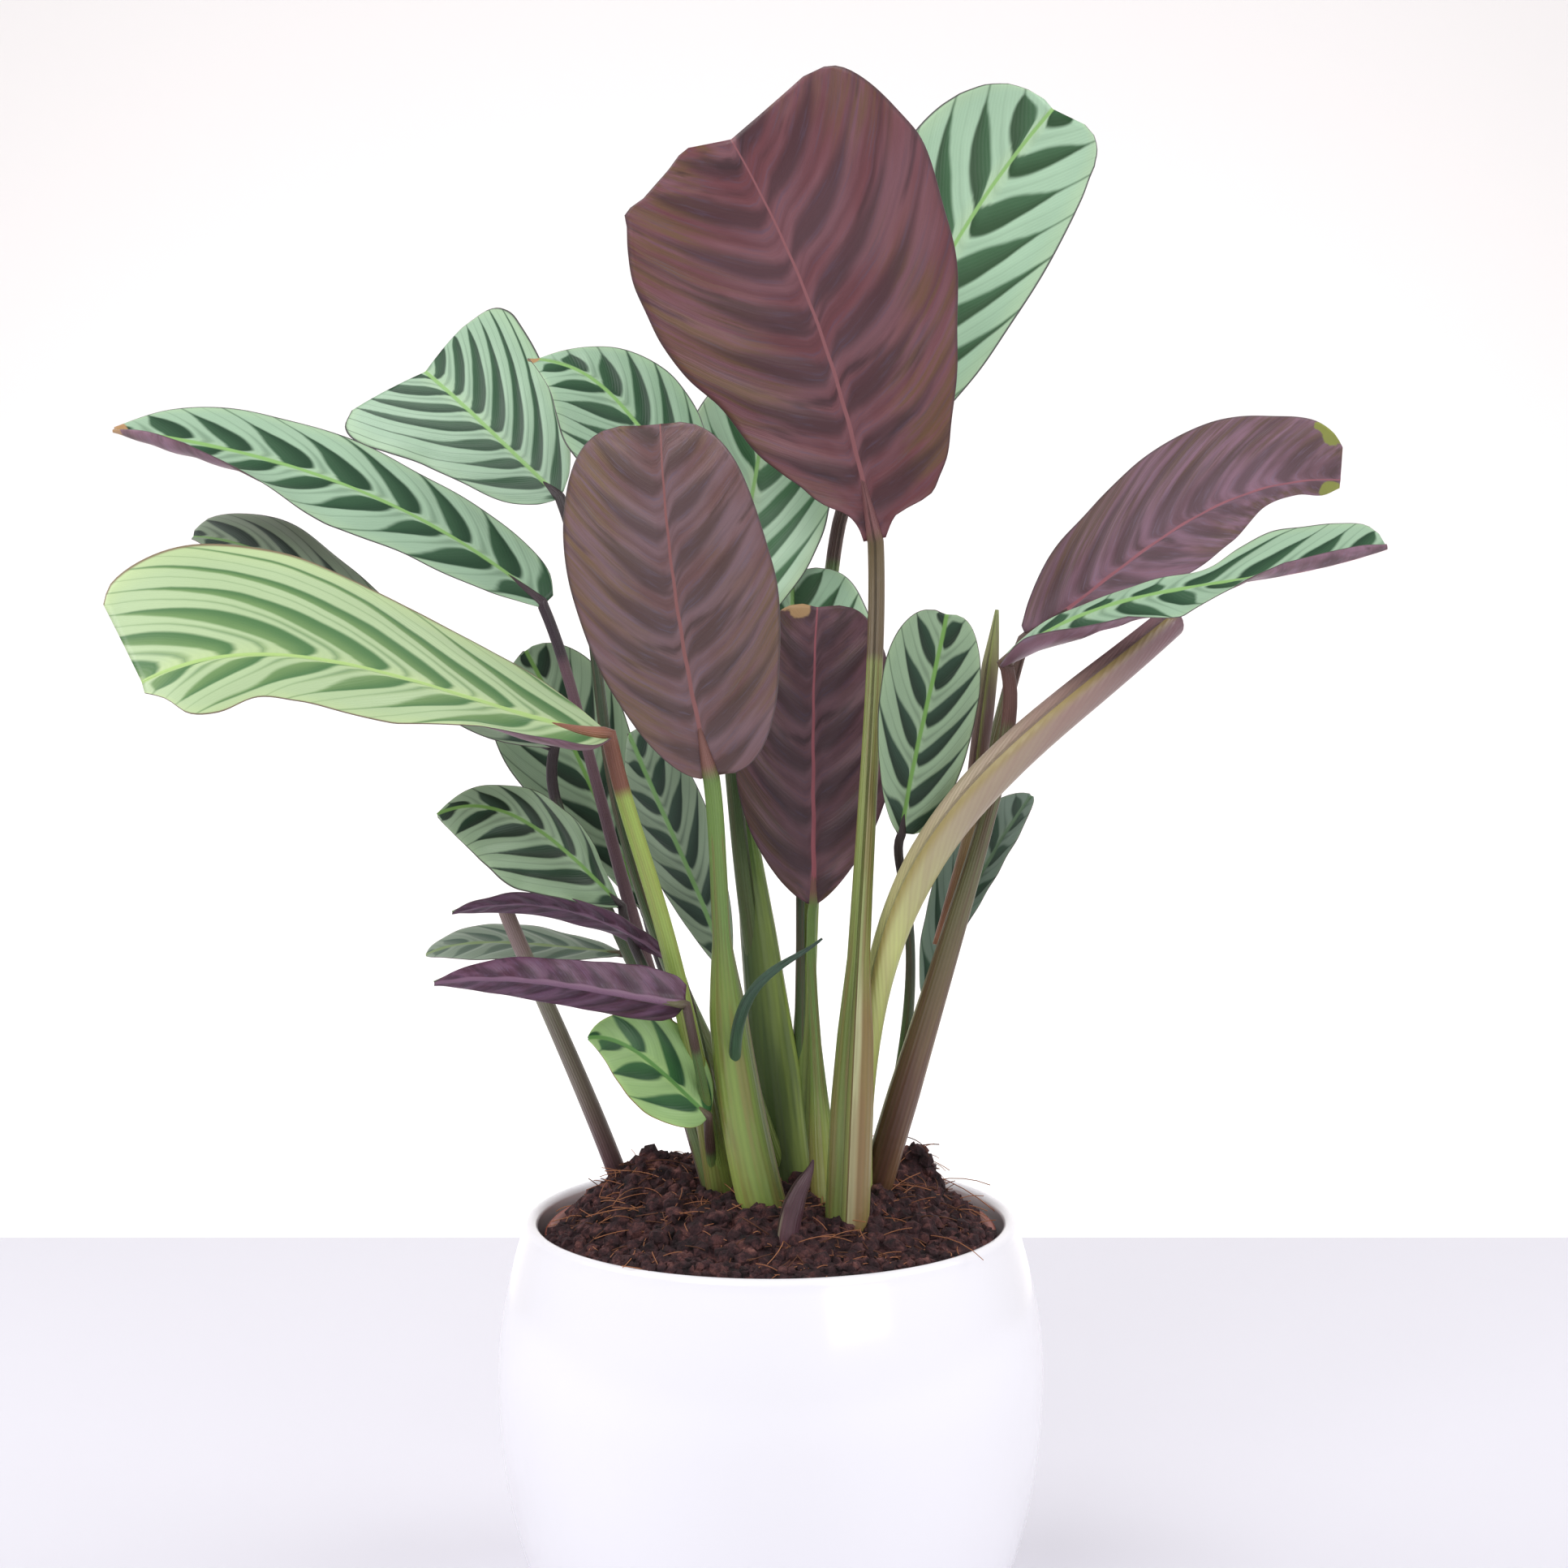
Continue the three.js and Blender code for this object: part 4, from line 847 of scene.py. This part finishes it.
# %% Build the stalks
LEAD = 9  # rings under the blade, where the stalk runs out into the midrib
for n, (name, leaf) in enumerate(LEAVES.items()):
    rib, _, up, _, _ = blade_frame(leaf, np.linspace(0.012, 0.16, LEAD))
    thinner = leaf["radii"][0] * np.linspace(1, 0.2, LEAD)
    under_rib = rib - up * (thinner * np.linspace(0.1, 0.9, LEAD))[:, None]
    stem = leaf["stem"]
    if len(stem) < 4:
        stem = [leaf["rib"][0], *stem, leaf["foot"]][:4]
    stalk = tube(
        f"stalk_{name}", stem, leaf["radii"], STALKS[leaf["look"].split()[2]], 0.22, 1.3 + 1.9 * n,
        (under_rib[::-1], thinner[::-1]))
    dress(stalk, "leaf", leaf["node"])
print(len(LEAVES), "stalks")

# %% [markdown]
# ## Rolled young leaves, the cut stalk and the bud
#
# A young leaf comes up rolled like a paper cone. These are tubes too, with a stronger ledge.


# %% Rolled leaves
def rolled_material(name, hues, line, margin, blotched=0.35):
    """hues: from the tip down."""
    sh = Shader(f"rolled_{name}")
    down, around = sh.attribute("down"), sh.attribute("around")
    colour = sh.ramp(down, [(n / (len(hues) - 1), hue) for n, hue in enumerate(hues)])
    slant = sh.line(sh.attribute("down_mm"), 0.25, sh.times(around, 26))
    blotch = sh.noise(sh.xy(sh.times(slant, 0.12), down), 3.0)
    colour = sh.tint(colour, line, sh.smooth(blotch, 0.4, 0.7), blotched)
    lines = sh.math("SINE", sh.times(slant, 2 * math.pi))
    colour = sh.tint(colour, line, sh.line(lines, 0.05, 0.05))
    colour = sh.tint(colour, margin, sh.smooth(around, 0.9, 0.97), 0.8)
    return sh.finish(colour, 0.4, lines, 0.00003)


ROLLED = {  # node, points, radii, and the look as in rolled_material
    "young": (
        "shoot_middle", [(104, -20, 280), (58, -41, 244), (31, -26, 198), (25, -16, 118)],
        (4.2, 5, 5.4, 5, 3.8, 2.8, 2.6),
        [0x7C6068, 0x9A8278, 0xB0A284, 0xCAD084, 0xC2CE72, 0x8E9C50], 0x8E6468, 0x9A8A50, 0.2),
    "spear": (
        "shoot_right", [(59, -22, 283), (58, -22, 274), (56, -22, 258), (52, -26, 228)],
        (0.5, 2.2, 2.6, 2.4, 1.6), [0x9CA868, 0x7C6458, 0x7A5C50], 0x5A4050, 0x8A9450),
    "strap": (
        "shoot_front", [(13, -60, 202), (3, -57, 195), (-6, -48, 184), (-9, -28, 160)],
        (0.3, 1.1, 1.5, 1.6, 1.5), [0x3C5444, 0x405E48, 0x4A6A4C], 0x263C30, 0x2E4438),
}
for name, (node, points, radii, *look) in ROLLED.items():
    dress(tube(f"rolled_{name}", points, radii, rolled_material(name, *look), 0.5, 3.6), "leaf", node)

cut = [(-69, -30, 207), (-63, -25, 190), (-52, -6, 157), (-41, 20, 118)]
dress(tube("cut_stalk_piece", cut, (2, 2.3, 2.6, 2.8), STALKS["cut"], 0.1), "stalk", "cut_stalk")
bud = [(11, -44, 143), (9, -44, 138), (6, -44, 131), (4, -44, 118)]
dress(tube("bud_piece", bud, (0.3, 2, 2.9, 3, 2.8), STALKS["bud"], 0.3, 4.2), "stalk", "bud")
print("rolled leaves, cut stalk and bud")

# %% [markdown]
# ## The pots
#
# Both pots are turned: one profile goes round the axis. The CAD nodes have forty flat sides, so finer
# pieces with the same profile stand for them.

# %% Pots
SOIL_RADIUS = 57.6
POT_SIDES = 144


def turned(name, profile, material):
    """profile: radii and heights, from the axis to the axis."""
    (_, first), *outline, (_, last) = profile
    rings = [circle(radius, z, POT_SIDES) for radius, z in outline]
    return make_mesh(name, *skin(rings, (0, 0, first), (0, 0, last)), [material])


def cover_profile(height=118, lip=67.2, belly=74.5, belly_at=76, foot=44, wall=4.5, floor=7, mouth=63.5):
    half_lip, inner = (lip - mouth) / 2, belly - wall
    lip_z = height - half_lip
    quarter = np.linspace(0, np.pi / 2, 28)[1:]
    rise = [
        (foot + (belly - foot) * math.sin(x) ** 0.9, belly_at - (belly_at - 1.5) * math.cos(x))
        for x in quarter]
    neck = [
        (belly - (belly - lip) * x**1.8, belly_at + (lip_z - belly_at) * x)
        for x in np.linspace(0, 1, 20)[1:]]
    rim = [
        (mouth + half_lip + half_lip * math.cos(x), lip_z + half_lip * math.sin(x))
        for x in np.linspace(0.2, math.pi - 0.2, 10)]
    down = [
        (mouth + (inner - mouth) * x**0.6, lip_z - (lip_z - belly_at) * x)
        for x in np.linspace(0, 1, 14)]
    bowl = [
        (foot - 1 + (inner - foot + 1) * math.cos(x) ** 0.9, belly_at - (belly_at - floor) * math.sin(x))
        for x in quarter]
    return [(0, 0), (foot - 0.8, 0), (foot, 0.5), *rise, *neck, *rim, *down, *bowl, (0, floor)]


def nursery_profile(bottom=7, top=115, rim=61.6, rim_height=9, rim_lip=2.2, wall=1.3, base=42, floor=2):
    side, rim_z, inside = rim - rim_lip - 2.4, top - rim_height, SOIL_RADIUS + 0.4
    return [
        (0, bottom), (base, bottom), (side, rim_z), (rim - 0.4, rim_z), (rim, rim_z + 0.4),
        (rim, top - 0.8), (rim - 0.8, top), (rim - rim_lip, top), (inside, top - 2),
        (inside, rim_z - 4), (side - wall - 1, rim_z - 6), (base - wall, bottom + floor), (0, bottom + floor),
    ]


GLAZE = Shader("white_glaze").finish(0xF4F3F8, 0.16, Coat_Weight=0.3, Coat_Roughness=0.08)
TERRACOTTA = plain("terracotta_plastic", 0x9A4A38, 0.45, (0x83402F, 60))
dress(turned("cover_pot_piece", cover_profile(), GLAZE), "cover_pot", "cover_pot")
dress(turned("nursery_pot_piece", nursery_profile(), TERRACOTTA), "nursery_pot", "nursery_pot")
print("two pots")

# %% [markdown]
# ## The soil
#
# The soil is a heaped disc. Geometry Nodes scatter crumbs and coir fibres over it: points on the
# faces, one crumb or fibre on each, turned at random. The result is turned into a plain mesh. At the
# front a bank of soil has fallen over the inner pot's rim.

# %% Soil surface
SOIL_EDGE, SOIL_CROWN, SOIL_FLOOR = 114.5, 127.5, 9
MOUNDS = ((-33, 3, 7, 12), (40, 9, 12, 6))  # x, y, height, spread
BUMPS, BUMP_SIZE = 3.2, 13
SOIL_WALL = ((SOIL_RADIUS, 103), (55.2, 101), (41, SOIL_FLOOR))  # radius, z
RINGS, SPOKES = 40, 120


def bumps(x, y, seed, size, octaves=4):
    """Smooth random bumps, as a sum of waves in random directions."""
    rng = np.random.default_rng(seed)
    total = np.zeros_like(x)
    for k in range(octaves * 6):
        direction, phase = rng.uniform(0, 2 * np.pi, 2)
        wave = size / (1 + k // 6 * 0.8)
        along = x * np.cos(direction) + y * np.sin(direction)
        total += np.sin(along * 2 * np.pi / wave + phase) / (1 + k // 6) / 6
    return total


out = np.linspace(0, 1, RINGS + 1)[1:, None]
X, Y, _ = (out * direction * SOIL_RADIUS for direction in circle(1, 0, SPOKES).T)
HEAPS = sum(h * np.exp(-((X - x) ** 2 + (Y - y) ** 2) / spread**2) for x, y, h, spread in MOUNDS)
ROUGH = (HEAPS + bumps(X, Y, 4, BUMP_SIZE) * BUMPS) * (1 - out**6)
Z = SOIL_EDGE + (SOIL_CROWN - SOIL_EDGE) * (1 - out**4) + ROUGH
soil_points, soil_faces = skin(
    [*np.stack([X, Y, Z], -1), *(circle(radius, z, SPOKES) for radius, z in SOIL_WALL)],
    (0, 0, SOIL_CROWN), (0, 0, SOIL_FLOOR))

peat = Shader("peat")
coords = peat.coords()
dirt = peat.ramp(
    peat.noise(coords, 260, 5, 0.65), [(0.34, 0x1A0E12), (0.5, 0x40262A), (0.62, 0x6A4240), (0.76, 0x9C6C60)])
PEAT = peat.finish(dirt, 0.95, peat.noise(coords, 300, 6, 0.75), 0.0022)
COIR = plain("coir_fibre", 0x8A4E34, 0.75, (0xB47C54, 90))
COIR_DARK = plain("coir_dark", 0x4A2C20, 0.85, (0x6A4028, 120))
dress(make_mesh("soil_piece", soil_points, soil_faces, [PEAT]), "soil", "soil")


def spill():
    """The bank, with a wavy edge: sections of five points, in an arc round the front."""
    steps = 96
    a = np.radians(np.linspace(188, 352, steps))
    ends = np.clip(np.sin(np.linspace(0, np.pi, steps)) * 4, 0, 1) ** 0.5
    wobble = 0.6 * ripple(np.random.default_rng(8), np.linspace(0, 1, steps), 14)
    reach = 57 + (5.6 + wobble) * ends
    crest = 115.4 + (2.6 + wobble) * ends
    section = (
        (55.5, 113.5), (56, crest), ((56 + reach) / 2, crest + 0.6), (reach, crest - 1), (reach + 0.2, 115.3))
    sections = np.stack([np.stack([r * np.cos(a), r * np.sin(a), z + 0 * a], -1) for r, z in section], 1)
    count = len(section)
    faces = ring_faces(range(0, steps * count, count), count)
    faces += [tuple(range(count))[::-1], tuple((steps - 1) * count + j for j in range(count))]
    return make_mesh("soil_spill", sections.reshape(-1, 3), faces, [PEAT])


bank = dress(spill(), "soil")
print("soil:", len(soil_faces), "faces")


# %% Scatter crumbs and fibres with Geometry Nodes
SCATTER_RINGS = 39  # rings of the soil that are scattered on: all but its outer edge
ROUGH_SCALE = 900.0  # how fine the noise is that roughens the crumbs
INPUTS = {"Geometry": "Geometry", "Density": "Float", "Smallest": "Float", "Largest": "Float", "Seed": "Int"}


def crumb(tree):
    return add_node(tree, "GeometryNodeMeshIcoSphere", {"Radius": 1.0, "Subdivisions": 1}).outputs["Mesh"]


def fibre(tree):
    bow = {"Resolution": 7, "Start": (-0.5, 0, 0), "Middle": (0.05, 0.14, 0.2), "End": (0.5, -0.04, 0.08)}
    return add_node(tree, "GeometryNodeCurveQuadraticBezier", bow).outputs[0]


def scatter_tree(name, thing, material, thread, rough):
    """Density, size range and seed are inputs; `thing` builds what is scattered."""
    tree = bpy.data.node_groups.new(f"scatter_{name}", "GeometryNodeTree")
    for label, kind in INPUTS.items():
        tree.interface.new_socket(label, in_out="INPUT", socket_type=f"NodeSocket{kind}")
    tree.interface.new_socket("Geometry", in_out="OUTPUT", socket_type="NodeSocketGeometry")

    def add(kind, inputs, **settings):
        return add_node(tree, kind, inputs, **settings).outputs

    entry = add("NodeGroupInput", {})
    seed = {"Seed": entry["Seed"]}
    spread = {"Mesh": entry["Geometry"], "Density": entry["Density"]} | seed
    points = add("GeometryNodeDistributePointsOnFaces", spread)["Points"]
    angles = {0: (-0.5, -0.5, 0), 1: (0.5, 0.5, 6.283)} | seed
    turn = add("FunctionNodeRandomValue", angles, data_type="FLOAT_VECTOR")[0]
    sizes = {2: entry["Smallest"], 3: entry["Largest"]} | seed
    size = add("FunctionNodeRandomValue", sizes, data_type="FLOAT")[1]
    placing = {"Points": points, "Instance": thing(tree), "Rotation": turn, "Scale": size}
    made = add("GeometryNodeInstanceOnPoints", placing)[0]
    made = add("GeometryNodeRealizeInstances", {"Geometry": made})[0]
    if thread:
        ring = add("GeometryNodeCurvePrimitiveCircle", {"Resolution": 4, "Radius": thread})[0]
        made = add("GeometryNodeCurveToMesh", {"Curve": made, "Profile Curve": ring, "Fill Caps": True})[0]
    if rough:
        noise = add("ShaderNodeTexNoise", {"Scale": ROUGH_SCALE, "Detail": 1.0})["Color"]
        shift = add("ShaderNodeVectorMath", {0: noise, 1: (0.5, 0.5, 0.5)}, operation="SUBTRACT")[0]
        shift = add("ShaderNodeVectorMath", {0: shift, "Scale": rough}, operation="SCALE")[0]
        made = add("GeometryNodeSetPosition", {"Geometry": made, "Offset": shift})[0]
    made = add("GeometryNodeSetMaterial", {"Geometry": made, "Material": material})[0]
    add("NodeGroupOutput", {0: made})
    return tree


def scattered(name, source, thing, material, density, smallest, largest, seed, thread=None, rough=None):
    """Things for each square metre of the source, their sizes in metres, and the seed."""
    modifier = source.modifiers.new("scatter", "NODES")
    modifier.node_group = scatter_tree(name, thing, material, thread, rough)
    values = {"Density": density, "Smallest": smallest, "Largest": largest, "Seed": seed}
    for item in modifier.node_group.interface.items_tree:
        if item.in_out == "INPUT" and item.name in values:
            modifier[item.identifier] = values[item.name]
    evaluated = source.evaluated_get(bpy.context.evaluated_depsgraph_get())
    mesh = bpy.data.meshes.new_from_object(evaluated)
    mesh.name = name
    source.modifiers.remove(modifier)
    print(name, len(mesh.polygons), "faces")
    return dress(add_object(name, mesh), "soil")


crown = (RINGS + len(SOIL_WALL)) * SPOKES  # number of the middle point of the soil's top
top_faces = [(crown, k, (k + 1) % SPOKES) for k in range(SPOKES)]
for k in range(SPOKES):
    m = (k + 1) % SPOKES
    starts = range(0, SCATTER_RINGS * SPOKES, SPOKES)
    top_faces += [(a + k, b + k, b + m, a + m) for a, b in zip(starts, starts[1:])]
patch = make_mesh("soil_top", soil_points, top_faces, [], closed=False)
scattered("crumbs", patch, crumb, PEAT, 150000, 0.0006, 0.0028, 3, rough=0.0024)
scattered("fibres_dark", patch, fibre, COIR_DARK, 30000, 0.004, 0.013, 5, thread=0.00016)
scattered("fibres", patch, fibre, COIR, 30000, 0.004, 0.016, 9, thread=0.00012)
scattered("fibres_long", patch, fibre, COIR, 1800, 0.018, 0.036, 21, thread=0.00014)
scattered("crumbs_front", bank, crumb, PEAT, 200000, 0.0005, 0.002, 13, rough=0.002)
scattered("fibres_front", bank, fibre, COIR, 24000, 0.003, 0.011, 15, thread=0.00012)
bpy.data.objects.remove(patch)

# %% [markdown]
# ## Floor, wall and light
#
# A plain pale table with a pale wall behind it, and large soft lights, as in a small studio.

# %% Stage
TABLE_END, WALL_AT = 0.43, 1.35  # metres behind the pot's axis
REACH, WALL_HALF = 4, 3  # half width of table and wall, and half height of the wall, metres
PLANT = (0, 0, 0.22)


def sheet(name, near, low, far, high, colour, roughness):
    """A flat sheet from (near, low) to (far, high), metres."""
    corners = [(-REACH, near, low), (REACH, near, low), (REACH, far, high), (-REACH, far, high)]
    material = plain(f"pale_{name}", colour, roughness)
    make_mesh(name, np.array(corners) / MM, [(0, 1, 2, 3)], [material], closed=False)


def softbox(name, at, to, size, watts):
    light = bpy.data.lights.new(name, "AREA")
    light.shape, light.size, light.energy = "SQUARE", size, watts
    lamp = add_object(name, light)
    lamp.location = at
    lamp.rotation_euler = (Vector(to) - Vector(at)).to_track_quat("-Z", "Y").to_euler()


sheet("table", -REACH, 0, TABLE_END, 0, 0xE9E8F1, 0.5)
sheet("wall", WALL_AT, -WALL_HALF, WALL_AT, WALL_HALF, 0xF8F4F3, 0.9)
world = bpy.data.worlds.new("studio")
world.use_nodes = True
background = world.node_tree.nodes["Background"].inputs
background["Color"].default_value = linear(0xFBF9FA)
background["Strength"].default_value = 0.4
bpy.context.scene.world = world

softbox("key", (-0.55, -1.1, 1.15), PLANT, 0.8, 8.4)
softbox("fill", (0.85, -1.1, 0.65), PLANT, 0.7, 3.4)
for name, side in (("left", -1), ("right", 1)):
    softbox(f"table_wash_{name}", (side * 0.9, -0.1, 0.9), (0, TABLE_END, 0.2), 0.7, 6.2)
    softbox(f"wall_wash_{name}", (side * 0.55, 0.6, -0.55), (side * 0.1, WALL_AT, 0.25), 0.7, 6.5)
bpy.context.scene.view_settings.view_transform = "Standard"
print("stage and lights")
